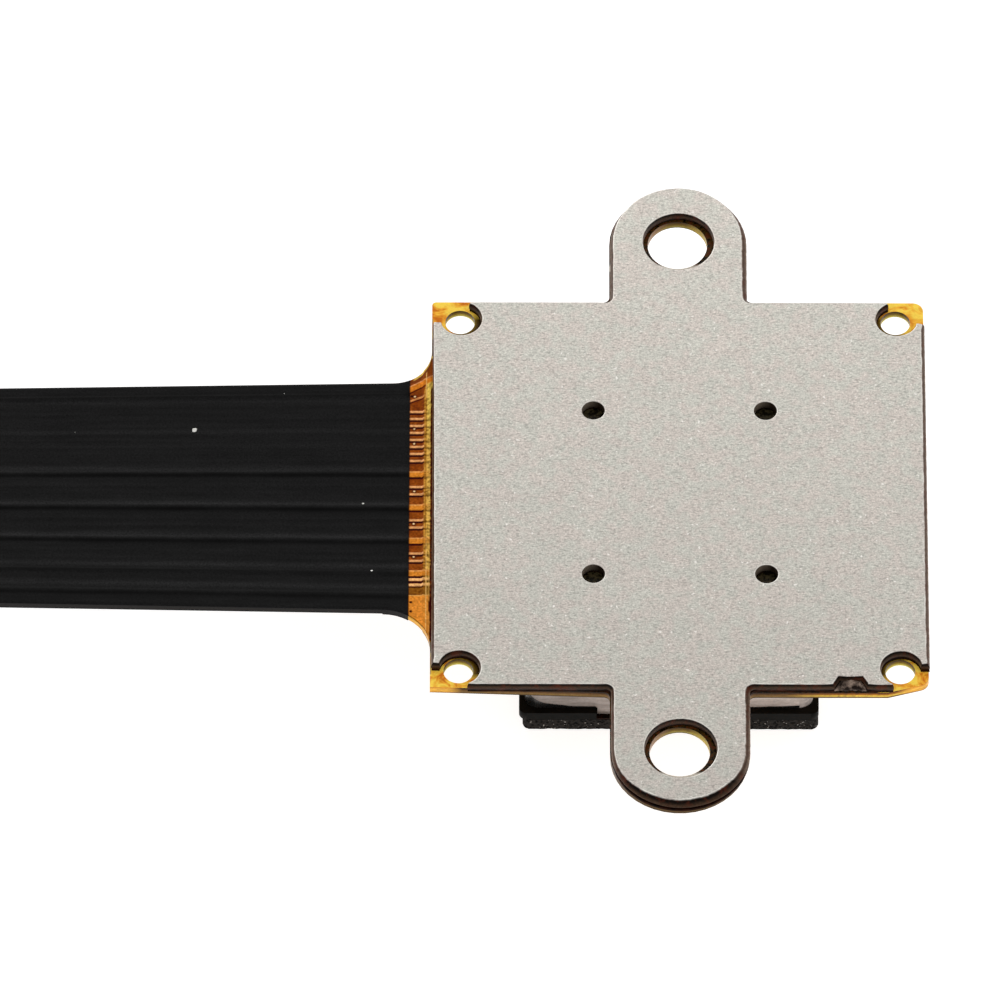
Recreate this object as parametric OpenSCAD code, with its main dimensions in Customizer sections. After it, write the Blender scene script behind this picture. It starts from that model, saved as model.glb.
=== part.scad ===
// Camera module on a flex circuit, millimetres.
// The optical axis is the Z axis and the lens looks down, towards -Z.
// Z = 0 is the face of the front gasket; +Z goes up through the lens, the sensor, the flex circuit and
// the steel stiffener on the back. The tail leaves towards -X, dips to the level of Z = 0 and ends in a
// board connector.

/* [Head panel of the flex circuit] */
// Length of the head panel along X
head_len = 14; // [13.8:0.1:15]
// Width of the head panel along Y
head_wid = 13.85; // [13.6:0.05:14.6]
// X of the head panel's centre, from the optical axis
head_x = 0.25; // [0:0.05:0.4]
// Thickness of the head panel
flex_t = 0.25; // [0.22:0.01:0.35]
// Corner radius of the head panel at its free end
head_corner_r = 0.3; // [0.2:0.05:0.5]
// Corner radius of the head panel at the tail
root_corner_r = 0.12; // [0.05:0.01:0.3]
// How far the near edge runs in towards the tail, as trimmed
near_trim = 0.17; // [0.05:0.01:0.17]
// How far the near edge runs in at the free end
end_trim = 0.25; // [0.1:0.01:0.3]
// Length over which it does so
end_trim_len = 1.15; // [0.8:0.05:1.6]
// Reach of the full thickness past the stiffener, at the tail
step_reach = 0.22; // [0.1:0.02:0.3]

/* [Ears] */
// Distance between the two ear holes
ear_pitch = 18; // [17.6:0.1:19]
// Radius of an ear's round end
ear_r = 1.95; // [1.75:0.05:2.2]
// Radius of the fillet where an ear meets the panel
ear_fillet_r = 0.18; // [0.1:0.02:0.3]
// Radius of an ear hole in the flex circuit
flex_hole_r = 0.85; // [0.7:0.05:0.9]

/* [Back stiffener] */
// Length of the steel plate along X
plate_len = 14; // [13.8:0.1:14.4]
// Width of the steel plate along Y
plate_wid = 13.6; // [13.5:0.05:14]
// Thickness of the steel plate
plate_t = 0.3; // [0.2:0.05:0.5]
// Play with which the plate was laid on the flex circuit, along X
plate_dx = 0.03; // [0:0.01:0.06]
// Play with which the plate was laid on the flex circuit, along Y
plate_dy = -0.12; // [-0.14:0.01:0]
// Thickness of the bonding film
bond_t = 0.05; // [0.03:0.01:0.08]
// How far the bonding film stays inside the plate's edge
bond_inset = 0.06; // [0.03:0.01:0.1]
// Radius of an ear hole in the steel
plate_hole_r = 1; // [0.98:0.02:1.2]
// Radius of a small tooling hole in the steel
dimple_r = 0.3; // [0.2:0.02:0.4]
// Distance between the tooling holes along X
dimple_dx = 4.88; // [4.5:0.02:5.2]
// Distance between the tooling holes along Y
dimple_dy = 5.8; // [5.4:0.05:6.2]

/* [Corners] */
// Distance between the corner holes, along X and along Y
corner_pitch = 12.4; // [12.2:0.05:12.5]
// Radius of a corner hole in the flex circuit
corner_hole_r = 0.42; // [0.35:0.01:0.46]
// Least rim of laminate round a corner hole
corner_rim = 0.13; // [0.08:0.01:0.13]
// Radius of the steel's cut-out round a corner hole
relief_r = 0.56; // [0.52:0.02:0.7]
// How far the open corner reaches past the hole's centre, along X
relief_past_x = 0.22; // [0.1:0.02:0.3]
// How far the open corner reaches past the hole's centre, along Y
relief_past_y = 0.12; // [0.05:0.01:0.2]

/* [Break-off notch] */
// X of the notch, from the plate's centre
notch_x = 4.77; // [4.4:0.01:5]
// Width of the notch at the plate's edge
notch_wid = 0.92; // [0.8:0.02:1.2]
// Width of the notch at its floor
notch_floor = 0.62; // [0.4:0.02:0.7]
// Depth of the notch
notch_depth = 0.28; // [0.2:0.02:0.4]
// Thickness of the torn stub left in the notch
stub_t = 0.17; // [0.1:0.01:0.18]

/* [Tail] */
// Width of the tail where it leaves the head panel
tail_root_wid = 8.05; // [7.8:0.05:8.4]
// Width of the tail from its first bend on
tail_wid = 7.55; // [7.2:0.05:7.75]
// Length of the straight, narrowing stretch
straight_len = 14.25; // [12:0.25:20]
// Radius of each of the two bends, at the middle of the tail
bend_r = 12; // [8:0.5:16]
// Angle of each bend
bend_angle = 20; // [14:1:26]
// Length of the flat stretch before the connector
foot_len = 15.5; // [8:0.5:30]
// Radius of the fillet at the tail's root, on the far side
root_far_r = 1.1; // [0.8:0.05:1.4]
// Radius of the fillet at the tail's root, on the near side
root_near_r = 1.35; // [1:0.05:1.5]
// Thickness of each shielding film
film_t = 0.04; // [0.03:0.005:0.06]
// Length that the shielding films leave bare, past the edge of the full thickness
bare_len = 0.4; // [0.25:0.01:0.8]

/* [Bare conductors] */
// Distance between the wide ground conductors
ground_pitch = 1.18; // [1.1:0.01:1.25]
// Width of a ground conductor
ground_wid = 0.21; // [0.15:0.01:0.25]
// Number of ground conductors
ground_n = 4; // [2:1:4]
// Y of the first ground conductor
ground_y = 0.77; // [0.6:0.01:0.9]
// Distance from a ground conductor to the pair beside it
pair_gap = 0.455; // [0.4:0.005:0.5]
// Distance between the two conductors of a pair
pair_pitch = 0.26; // [0.2:0.01:0.3]
// Distance from the last ground conductor to the pair beyond it
last_pair_gap = 0.2; // [0.17:0.01:0.22]
// Distance between the two conductors of that pair
last_pair_pitch = 0.18; // [0.15:0.01:0.2]
// Gap between that pair and the filled area along the near side
fill_gap = 0.34; // [0.2:0.01:0.4]
// Distance between the single signal conductors
signal_pitch = 0.25; // [0.22:0.01:0.26]
// Width of a signal conductor
signal_wid = 0.08; // [0.06:0.005:0.1]
// Number of single signal conductors
signal_n = 8; // [4:1:9]
// Gap before the two conductors that fan out towards the far side
fan_gap = 0.14; // [0.1:0.01:0.16]
// How far these two shift over the bare stretch
fan_shift = 0.2; // [0.1:0.01:0.25]
// Height of the conductors over the bare flex circuit
trace_t = 0.025; // [0.02:0.001:0.03]

/* [Connector end] */
// Length of the connector's land along X
land_len = 5.4; // [5:0.1:7]
// Width of the land along Y
land_wid = 9; // [8.8:0.1:10]
// Corner radius of the land
land_corner_r = 0.4; // [0.2:0.05:0.6]
// Thickness of the stiffener under the land
land_plate_t = 0.3; // [0.2:0.05:0.4]
// Length of the connector housing, along Y
plug_len = 8; // [7.8:0.1:8.4]
// Width of the connector housing, along X
plug_wid = 2.4; // [2.2:0.05:2.8]
// Height of the connector housing
plug_h = 0.8; // [0.7:0.05:1]
// Thickness of the housing's walls
plug_wall = 0.34; // [0.3:0.01:0.4]
// Thickness of the housing's floor
plug_floor = 0.2; // [0.15:0.01:0.3]
// Width of the rib along the middle of the housing
plug_rib = 0.44; // [0.3:0.02:0.5]
// Number of contacts on each side
contact_n = 15; // [10:1:16]
// Distance between the contacts
contact_pitch = 0.4; // [0.38:0.01:0.42]
// Width of a contact
contact_wid = 0.18; // [0.14:0.01:0.22]
// Thickness of a contact
contact_t = 0.08; // [0.05:0.01:0.1]

/* [Front gasket] */
// Side of the square gasket
gasket_side = 8.4; // [8.2:0.05:8.5]
// Thickness of the foam
gasket_t = 0.5; // [0.4:0.05:0.8]
// Radius of the gasket's round window
gasket_window_r = 3.5; // [3.42:0.02:3.6]
// Thickness of the gasket's bonding film
gasket_bond_t = 0.05; // [0.03:0.01:0.08]
// X by which the gasket was laid off the axis
gasket_dx = 0.05; // [0:0.01:0.05]

/* [Lens holder] */
// Side of the holder's square front flange
flange_side = 8.5; // [8.45:0.05:8.8]
// Thickness of the flange
flange_t = 0.3; // [0.25:0.01:0.4]
// Least reach of the flange past the shield can
flange_lip = 0.15; // [0.12:0.01:0.2]
// Gap between the holder and the shield can
can_gap = 0.05; // [0.03:0.01:0.08]
// Radius of the holder's bore for the lens barrel
barrel_bore_r = 3; // [2.9:0.02:3.06]
// Length of that bore
barrel_bore_len = 3.35; // [3.3:0.05:3.45]
// Length of the filter's window along X
window_len = 4.8; // [4.4:0.05:5]
// Width of the filter's window along Y
window_wid = 4.2; // [4:0.05:4.5]
// Side walls of the holder round the sensor
holder_wall = 0.6; // [0.5:0.02:0.7]
// Thickness of the holder's bonding bead
holder_bond_t = 0.03; // [0.02:0.01:0.05]

/* [Shield can] */
// Length of the can along X
can_len = 8.2; // [8:0.05:8.2]
// Width of the can along Y
can_wid = 8.1; // [7.9:0.05:8.2]
// Height of the can
can_h = 4.35; // [4.3:0.05:5]
// Thickness of the can's sheet
can_t = 0.15; // [0.1:0.01:0.16]
// Outer corner radius of the can
can_corner_r = 0.4; // [0.3:0.02:0.5]
// Width of the tongue on two of the can's walls
tongue_wid = 4.06; // [3.6:0.02:4.6]
// Gap of the can's closing seam
seam_gap = 0.06; // [0.04:0.01:0.1]
// Width of the glue bead that lies against the can
glue_bead = 0.12; // [0.08:0.01:0.14]

/* [Filter and sensor] */
// Length of the infrared filter
filter_len = 5.4; // [5.2:0.05:5.5]
// Width of the infrared filter
filter_wid = 4.8; // [4.7:0.05:5]
// Thickness of the infrared filter
filter_t = 0.21; // [0.15:0.01:0.25]
// Gap round the filter in its pocket
filter_gap = 0.06; // [0.04:0.01:0.1]
// Length of the sensor die
die_len = 5.4; // [5:0.05:5.5]
// Width of the sensor die
die_wid = 4.6; // [4.2:0.05:4.9]
// Thickness of the sensor die
die_t = 0.2; // [0.15:0.01:0.25]
// Thickness of the die's bonding film
die_bond_t = 0.03; // [0.02:0.005:0.04]
// Margin of the die round its pixels
pixel_margin = 0.45; // [0.35:0.05:0.6]
// Height of the pixel area over the die
pixel_t = 0.02; // [0.015:0.005:0.03]
// Number of bond wires on each long side
wire_n = 12; // [6:1:16]
// Thickness of a bond wire
wire_t = 0.03; // [0.02:0.005:0.04]

/* [Lens] */
// Running clearance of the barrel in its bore, on the radius
barrel_gap = 0.02; // [0.01:0.005:0.04]
// Z of the barrel's front face
barrel_front = 0.28; // [0.2:0.02:0.34]
// Length of the barrel
barrel_len = 3.3; // [3.28:0.02:3.36]
// Number of wrench notches in the barrel's rim
wrench_n = 6; // [4:1:8]
// Radius of the aperture stop
stop_r = 1.1; // [0.9:0.02:1.3]
// Radius of the mouth in front of the stop
mouth_r = 1.9; // [1.6:0.02:2.2]
// Radius of the two front elements
front_lens_r = 1.88; // [1.7:0.02:1.9]
// Radius of the third element
mid_lens_r = 2.1; // [2:0.02:2.16]
// Radius of the rear element
rear_lens_r = 2.4; // [2.3:0.02:2.46]
// Clearance of an element in the barrel, on the radius
lens_gap = 0.01; // [0.005:0.005:0.02]

/* [Parts round the can] */
// Length of a capacitor
cap_len = 1; // [0.9:0.05:1.1]
// Width and height of a capacitor
cap_wid = 0.5; // [0.4:0.02:0.55]
// Length of a capacitor's metal end
cap_end = 0.24; // [0.18:0.02:0.3]
// Length of the memory chip
memory_len = 1.6; // [1.4:0.1:1.8]
// Length of the voltage regulator
regulator_len = 1.4; // [1.2:0.1:1.6]
// Height of the two chips
chip_h = 0.45; // [0.35:0.05:0.55]

/* [Hidden] */
$fn = 64;

// Colours
steel = [0.74, 0.72, 0.69];
can_metal = [0.6, 0.58, 0.54];
amber = [0.8, 0.5, 0.1];
copper = [0.85, 0.5, 0.15];
film_black = [0.1, 0.1, 0.11];
black = [0.08, 0.08, 0.08];
gold = [0.9, 0.72, 0.3];
tin = [0.75, 0.75, 0.77];
ceramic = [0.7, 0.58, 0.45];
glass = [0.75, 0.85, 0.9];

// Heights of the stack, from the gasket's face up
z_holder = gasket_t + gasket_bond_t;
z_can = z_holder + flange_t;
z_flex = z_can + can_h;
z_bond = z_flex + flex_t;
z_plate = z_bond + bond_t;
z_top = z_plate + plate_t;

// The tail without its films, and the middle of its thickness at both ends
core_t = flex_t - 2 * film_t;
z_tail = z_flex + flex_t / 2;
z_land = land_plate_t + bond_t + core_t / 2;

// Along the tail, towards -X
x_root = head_x - head_len / 2;
x_plate_edge = head_x + plate_dx - plate_len / 2;
x_step = min(x_root, x_plate_edge) - step_reach;
x_film = x_step - bare_len;
x_bend = x_root - straight_len;
slope_len = (z_tail - z_land - 2 * bend_r * (1 - cos(bend_angle))) / sin(bend_angle);
x_foot = x_bend - 2 * bend_r * sin(bend_angle) - slope_len * cos(bend_angle);
x_land = x_foot - foot_len;
x_end = x_land - land_len;
film_stop = 0.5;
x_film_end = x_land + film_stop;
bend_steps = 12;

// Depths inside the lens barrel, from its front face
seat_1 = 0.37;
lens_1_t = 0.6;
baffle_t = 0.05;
lens_2_t = 0.45;
spacer_t = 0.2;
lens_3_t = 0.5;
lens_4_t = 0.6;
retainer_t = 0.3;
z_lens_1 = barrel_front + seat_1;
z_baffle_1 = z_lens_1 + lens_1_t;
z_lens_2 = z_baffle_1 + baffle_t;
z_spacer = z_lens_2 + lens_2_t;
z_lens_3 = z_spacer + spacer_t;
z_baffle_2 = z_lens_3 + lens_3_t;
z_lens_4 = z_baffle_2 + baffle_t;
z_retainer = z_lens_4 + lens_4_t;
barrel_r = barrel_bore_r - barrel_gap;

// The flange carries the can all round
flange_len = max(flange_side, can_len + 2 * flange_lip);
flange_wid = max(flange_side, can_wid + 2 * flange_lip);
flange_corner_r = 0.2125;

// Inside the holder
holder_len = can_len - 2 * (can_t + can_gap);
holder_wid = can_wid - 2 * (can_t + can_gap);
ledge_t = 0.3;
pocket_t = 0.3;
z_holder_end = z_flex - holder_bond_t;
z_ledge = z_holder + barrel_bore_len;
z_filter = z_ledge + ledge_t;
z_cavity = z_filter + pocket_t;
cavity_len = holder_len - 2 * holder_wall;
cavity_wid = holder_wid - 2 * holder_wall;
tongue_gap = 0.02;

// The sensor hangs under the flex circuit
z_die = z_flex - die_bond_t - die_t;

// The connector stands on the land
z_plug = z_land + core_t / 2;
x_plug = x_land - land_len / 2;
plug_slot_gap = 0.02;
contact_foot = 0.3;

// A cut reaches this far past the faces that it opens
past = 0.2;

// ---- Shared outlines ----

// A rectangle with round corners, centred
module rounded_rect(len, wid, r) {
    square([len - 2 * r, wid], center = true);
    square([len, wid - 2 * r], center = true);
    for (sx = [-1, 1], sy = [-1, 1])
        translate([sx * (len / 2 - r), sy * (wid / 2 - r)])
            circle(r);
}

// The web that rounds the inner corner at the origin, towards +X and +Y
module inner_fillet(r) {
    difference() {
        translate([-past, -past])
            square(r + past);
        translate([r, r])
            circle(r);
    }
}

// The two ears of the plate or of the flex circuit, whose body is wid across
module ears(wid, r, hole_pitch) {
    for (side = [-1, 1])
        scale([1, side]) {
            translate([0, hole_pitch / 2])
                circle(r);
            translate([-r, 0])
                square([2 * r, hole_pitch / 2]);
            for (sx = [-1, 1])
                scale([sx, 1])
                    translate([r, wid / 2])
                        inner_fillet(ear_fillet_r);
        }
}

// Places its children at the four corners of a rectangle, mirrored into each
module at_corners(dx, dy) {
    for (sx = [-1, 1], sy = [-1, 1])
        scale([sx, sy])
            translate([dx / 2, dy / 2])
                children();
}

// Width of the tail at x
function tail_width(x) =
    tail_wid + (tail_root_wid - tail_wid) * max(0, min(1, (x - x_bend) / straight_len));

// Plan of the tail between two places along X
module tail_plan(x0, x1) {
    xs = concat([x0], [for (x = [x_bend]) if (x < x0 && x > x1) x], [x1]);
    polygon(concat(
        [for (x = xs) [x, tail_width(x) / 2]],
        [for (i = [len(xs) - 1:-1:0]) [xs[i], -tail_width(xs[i]) / 2]]
    ));
}

// Plan of the fillets that join the tail to the head panel
module root_plan() {
    half = tail_width(x_root) / 2;
    translate([x_root, half])
        scale([-1, 1])
            inner_fillet(root_far_r);
    translate([x_root, -half])
        scale([-1, -1])
            inner_fillet(root_near_r);
}

// Plan of the tail and its root from the head panel to the land
module ribbon_plan() {
    tail_plan(x_root + past, x_land - past);
    root_plan();
}

// Points along the middle of the tail: x, z and the slope there
function bend_path() = concat(
    [[x_root + past + step_reach, z_tail, 0]],
    [for (i = [0:bend_steps])
        let (a = bend_angle * i / bend_steps)
        [x_bend - bend_r * sin(a), z_tail - bend_r * (1 - cos(a)), a]],
    [for (i = [bend_steps:-1:0])
        let (a = bend_angle * i / bend_steps)
        [x_foot + bend_r * sin(a), z_land + bend_r * (1 - cos(a)), a]],
    [[x_end - past, z_land, 0]]
);

// Side view of one layer of the tail, from lo to hi off the middle of its thickness
module layer_side(lo, hi) {
    path = bend_path();
    n = len(path);
    polygon(concat(
        [for (p = path) [p[0] - hi * sin(p[2]), p[1] + hi * cos(p[2])]],
        [for (i = [n - 1:-1:0]) [path[i][0] - lo * sin(path[i][2]), path[i][1] + lo * cos(path[i][2])]]
    ));
}

// One layer of the tail, cut to the plan given as its child
module tail_layer(lo, hi) {
    reach = land_wid + root_far_r + root_near_r;
    intersection() {
        translate([0, reach / 2, 0])
            rotate([90, 0, 0])
                linear_extrude(reach)
                    layer_side(lo, hi);
        translate([0, 0, -past])
            linear_extrude(z_top + 2 * past)
                children();
    }
}

// ---- Back stiffener ----

// The open corners and the tooling holes, about the plate's centre and wider by inset
module plate_cutouts(inset) {
    at_corners(corner_pitch, corner_pitch) {
        circle(relief_r + inset);
        translate([-relief_past_x - inset, 0])
            square(plate_len);
        translate([0, -relief_past_y - inset])
            square(plate_len);
    }
    at_corners(dimple_dx, dimple_dy)
        circle(dimple_r + inset / 2);
}

module plate_outline() {
    difference() {
        union() {
            square([plate_len, plate_wid], center = true);
            ears(plate_wid, ear_r, ear_pitch);
        }
        plate_cutouts(0);
        at_corners(0, ear_pitch)
            circle(plate_hole_r);
    }
}

// The break-off notch and what is left in it, narrower by margin on each side
module notch_outline(margin) {
    translate([notch_x, -plate_wid / 2])
        polygon([
            [-notch_wid / 2 + margin, -past / 2],
            [notch_wid / 2 - margin, -past / 2],
            [notch_wid / 2 - margin, 0],
            [notch_floor / 2 - margin, notch_depth],
            [-notch_floor / 2 + margin, notch_depth],
            [-notch_wid / 2 + margin, 0]
        ]);
}

module at_plate() {
    translate([head_x + plate_dx, plate_dy, 0])
        children();
}

module back_stiffener() {
    color(steel)
        at_plate()
            translate([0, 0, z_plate]) {
                linear_extrude(plate_t)
                    difference() {
                        plate_outline();
                        notch_outline(0);
                    }
                // Torn stub of the tie bar
                linear_extrude(stub_t)
                    intersection() {
                        notch_outline(0);
                        square([plate_len, plate_wid], center = true);
                    }
            }
}

// The film lies under the plate only and leaves both ears free
module stiffener_bond() {
    color([0.35, 0.27, 0.2])
        at_plate()
            translate([0, 0, z_bond])
                linear_extrude(bond_t)
                    difference() {
                        square([plate_len - 2 * bond_inset, plate_wid - 2 * bond_inset], center = true);
                        plate_cutouts(bond_inset);
                    }
}

// ---- Flex circuit ----

// The free end of the head panel, whose near edge runs in towards the corner
module head_end() {
    r = head_corner_r;
    x = head_len / 2 - r;
    y_far = head_wid / 2 - r;
    y_near = end_trim + r - head_wid / 2;
    lean = atan(end_trim / (end_trim_len - r));
    polygon([
        [0, -head_wid / 2],
        [head_len / 2 - end_trim_len, -head_wid / 2],
        [x + r * sin(lean), y_near - r * cos(lean)],
        [x + r, y_near],
        [x + r, y_far],
        [x, y_far + r],
        [0, y_far + r]
    ]);
    for (y = [y_near, y_far])
        translate([x, y])
            circle(r);
}

module head_outline() {
    difference() {
        union() {
            head_end();
            translate([-head_len / 4, 0])
                rounded_rect(head_len / 2, head_wid, root_corner_r);
            ears(head_wid, ear_r, ear_pitch);
        }
        // The near edge runs in a little towards the tail
        translate([0, -head_wid / 2])
            polygon([
                [-head_len, -past],
                [-ear_r - ear_fillet_r, -past],
                [-ear_r - ear_fillet_r, 0],
                [-head_len / 2, near_trim],
                [-head_len, near_trim]
            ]);
    }
    at_corners(corner_pitch, corner_pitch)
        circle(corner_hole_r + corner_rim);
}

module flex_holes() {
    at_corners(0, ear_pitch)
        circle(flex_hole_r);
    at_corners(corner_pitch, corner_pitch)
        circle(corner_hole_r);
}

module land_outline() {
    translate([x_land - land_len / 2, 0])
        rounded_rect(land_len, land_wid, land_corner_r);
}

module flex_circuit() {
    color(amber) {
        translate([0, 0, z_flex])
            linear_extrude(flex_t)
                difference() {
                    union() {
                        translate([head_x, 0])
                            head_outline();
                        // The full thickness goes on a little past the stiffener's edge
                        intersection() {
                            ribbon_plan();
                            translate([x_step, -head_wid / 2])
                                square([x_root - x_step + past, head_wid]);
                        }
                    }
                    translate([head_x, 0])
                        flex_holes();
                }
        tail_layer(-core_t / 2, core_t / 2)
            ribbon_plan();
        tail_layer(-core_t / 2, core_t / 2)
            land_outline();
    }
}

// One conductor across the bare stretch, at y and dy further over at the panel's end
module conductor(y, wid, dy = 0) {
    polygon([
        [x_film, y - wid / 2],
        [x_step, y + dy - wid / 2],
        [x_step, y + dy + wid / 2],
        [x_film, y + wid / 2]
    ]);
}

// All conductors of the tail where no film covers them
module conductor_rows() {
    for (i = [0:ground_n - 1]) {
        y = ground_y - i * ground_pitch;
        conductor(y, ground_wid);
        if (i < ground_n - 1)
            for (k = [0, 1])
                conductor(y - pair_gap - k * pair_pitch, signal_wid);
    }
    first_signal = ground_y + pair_gap;
    for (i = [0:signal_n - 1])
        conductor(first_signal + i * signal_pitch, signal_wid);
    // Two on the far side fan out towards the fillet
    fan_y = first_signal + signal_n * signal_pitch + fan_gap;
    conductor(fan_y, signal_wid, fan_shift);
    conductor(fan_y + 2 * ground_wid + signal_wid, ground_wid, fan_shift);
    // One more pair, and a filled area along the near side
    last_pair = last_ground() - last_pair_gap;
    for (k = [0, 1])
        conductor(last_pair - k * last_pair_pitch, signal_wid);
    fill_y = last_pair - last_pair_pitch - fill_gap;
    fill_wid = tail_root_wid / 2 + fill_y;
    conductor(fill_y - fill_wid / 2, fill_wid);
}

// Y of the last ground conductor
function last_ground() = ground_y - (ground_n - 1) * ground_pitch;

module bare_conductors() {
    color(copper)
        translate([0, 0, z_tail + core_t / 2])
            linear_extrude(trace_t)
                intersection() {
                    conductor_rows();
                    ribbon_plan();
                }
}

module shield_film(lo, hi) {
    tail_layer(lo, hi)
        intersection() {
            ribbon_plan();
            translate([x_film_end, -head_wid / 2])
                square([x_film - x_film_end, head_wid]);
        }
}

module shield_film_back() {
    color(film_black)
        shield_film(core_t / 2, core_t / 2 + film_t);
}

module shield_film_front() {
    color(film_black)
        shield_film(-core_t / 2 - film_t, -core_t / 2);
}

// ---- Connector end ----

module land_stiffener() {
    color([0.2, 0.22, 0.16])
        linear_extrude(land_plate_t)
            land_outline();
}

module land_bond() {
    color([0.6, 0.5, 0.35])
        translate([0, 0, land_plate_t])
            linear_extrude(bond_t)
                land_outline();
}

// Y of contact i, and the places of both rows
function contact_y(i) = (i - (contact_n - 1) / 2) * contact_pitch;

module at_contacts() {
    translate([x_plug, 0, z_plug])
        for (side = [-1, 1], i = [0:contact_n - 1])
            scale([side, 1, 1])
                translate([0, contact_y(i), 0])
                    children();
}

// Section of the band along which a contact wraps the housing's wall, wider by g on every side
module contact_section(g) {
    x_out = plug_wid / 2 + g;
    x_in = plug_wid / 2 - plug_wall - g;
    difference() {
        union() {
            translate([x_in - contact_t, plug_floor - g])
                square([x_out - x_in + contact_t, plug_h - plug_floor + g]);
            translate([x_out - contact_t, -g])
                square([contact_t, plug_h]);
            translate([x_out - contact_t, -g])
                square([contact_foot + contact_t, contact_t + g]);
        }
        translate([x_in, plug_floor - past])
            square([x_out - contact_t - x_in, plug_h - contact_t - plug_floor + past - g]);
    }
}

module plug_contacts() {
    color(gold)
        at_contacts()
            translate([0, contact_wid / 2, 0])
                rotate([90, 0, 0])
                    linear_extrude(contact_wid)
                        contact_section(0);
}

module plug_housing() {
    slot_wid = contact_wid + 2 * plug_slot_gap;
    trough = plug_wid - 2 * plug_wall;
    color([0.88, 0.84, 0.74])
        difference() {
            translate([x_plug, 0, z_plug])
                difference() {
                    linear_extrude(plug_h)
                        rounded_rect(plug_wid, plug_len, plug_wall / 2);
                    translate([0, 0, plug_floor])
                        linear_extrude(plug_h)
                            difference() {
                                square([trough, plug_len - 2 * plug_wall], center = true);
                                square([plug_rib, plug_len - 4 * plug_wall], center = true);
                            }
                }
            // Each contact lies in a slot over the wall
            at_contacts() {
                translate([plug_wid / 2 - contact_t - plug_slot_gap, -slot_wid / 2, -past])
                    cube([past, slot_wid, plug_h + 2 * past]);
                translate([plug_wid / 2 - plug_wall - past, -slot_wid / 2, plug_h - contact_t - plug_slot_gap])
                    cube([plug_wall + 2 * past, slot_wid, past + contact_t]);
            }
        }
}

module plug_anchors() {
    anchor_h = plug_h / 2;
    anchor_len = plug_wid * 0.6;
    color(tin)
        translate([x_plug, 0, z_plug])
            for (side = [-1, 1])
                scale([1, side, 1])
                    translate([-anchor_len / 2, plug_len / 2, 0]) {
                        cube([anchor_len, contact_t, anchor_h]);
                        cube([anchor_len, contact_foot, contact_t]);
                    }
}

// ---- Front of the module ----

module gasket_outline() {
    difference() {
        translate([gasket_dx, 0])
            rounded_rect(gasket_side, gasket_side, flange_corner_r);
        circle(gasket_window_r);
    }
}

module front_gasket() {
    color(black)
        linear_extrude(gasket_t)
            gasket_outline();
}

module gasket_bond() {
    color([0.3, 0.3, 0.3])
        translate([0, 0, gasket_t])
            linear_extrude(gasket_bond_t)
                gasket_outline();
}

// The notch for a tongue of the can, in both flange edges that have one
module tongue_notches(gap) {
    depth = flange_wid / 2 - can_wid / 2 + can_t + gap;
    for (side = [-1, 1])
        scale([1, side])
            translate([-tongue_wid / 2 - gap, flange_wid / 2 - depth])
                square([tongue_wid + 2 * gap, depth + past]);
}

module lens_holder() {
    color(black)
        difference() {
            union() {
                translate([0, 0, z_holder])
                    linear_extrude(flange_t)
                        difference() {
                            rounded_rect(flange_len, flange_wid, flange_corner_r);
                            tongue_notches(tongue_gap);
                        }
                translate([0, 0, z_holder])
                    linear_extrude(z_holder_end - z_holder)
                        rounded_rect(holder_len, holder_wid, can_corner_r - can_t);
            }
            // Bore for the lens barrel
            translate([0, 0, z_holder - past])
                cylinder(h = barrel_bore_len + past, r = barrel_bore_r);
            // Window and pocket of the filter
            translate([0, 0, z_ledge - past])
                linear_extrude(ledge_t + 2 * past)
                    square([window_len, window_wid], center = true);
            translate([0, 0, z_filter])
                linear_extrude(pocket_t + past)
                    square([filter_len + 2 * filter_gap, filter_wid + 2 * filter_gap], center = true);
            // Chamber over the sensor
            translate([0, 0, z_cavity])
                linear_extrude(z_flex - z_cavity)
                    rounded_rect(cavity_len, cavity_wid, can_corner_r);
        }
}

module holder_bond() {
    color([0.2, 0.2, 0.2])
        translate([0, 0, z_holder_end])
            linear_extrude(holder_bond_t)
                difference() {
                    rounded_rect(holder_len, holder_wid, can_corner_r - can_t);
                    rounded_rect(cavity_len, cavity_wid, can_corner_r);
                }
}

// ---- Shield can ----

module shield_can() {
    color(can_metal) {
        translate([0, 0, z_can])
            linear_extrude(can_h)
                difference() {
                    rounded_rect(can_len, can_wid, can_corner_r);
                    rounded_rect(can_len - 2 * can_t, can_wid - 2 * can_t, can_corner_r - can_t);
                    // Closing seam on the far wall
                    translate([can_len / 4, can_wid / 2 - can_t - past / 2])
                        square([seam_gap, can_t + past]);
                }
        // Tongues that drop into the flange's notches
        for (side = [-1, 1])
            scale([1, side, 1])
                translate([-tongue_wid / 2, can_wid / 2 - can_t, z_holder])
                    cube([tongue_wid, can_t, flange_t + can_t]);
    }
}

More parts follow.
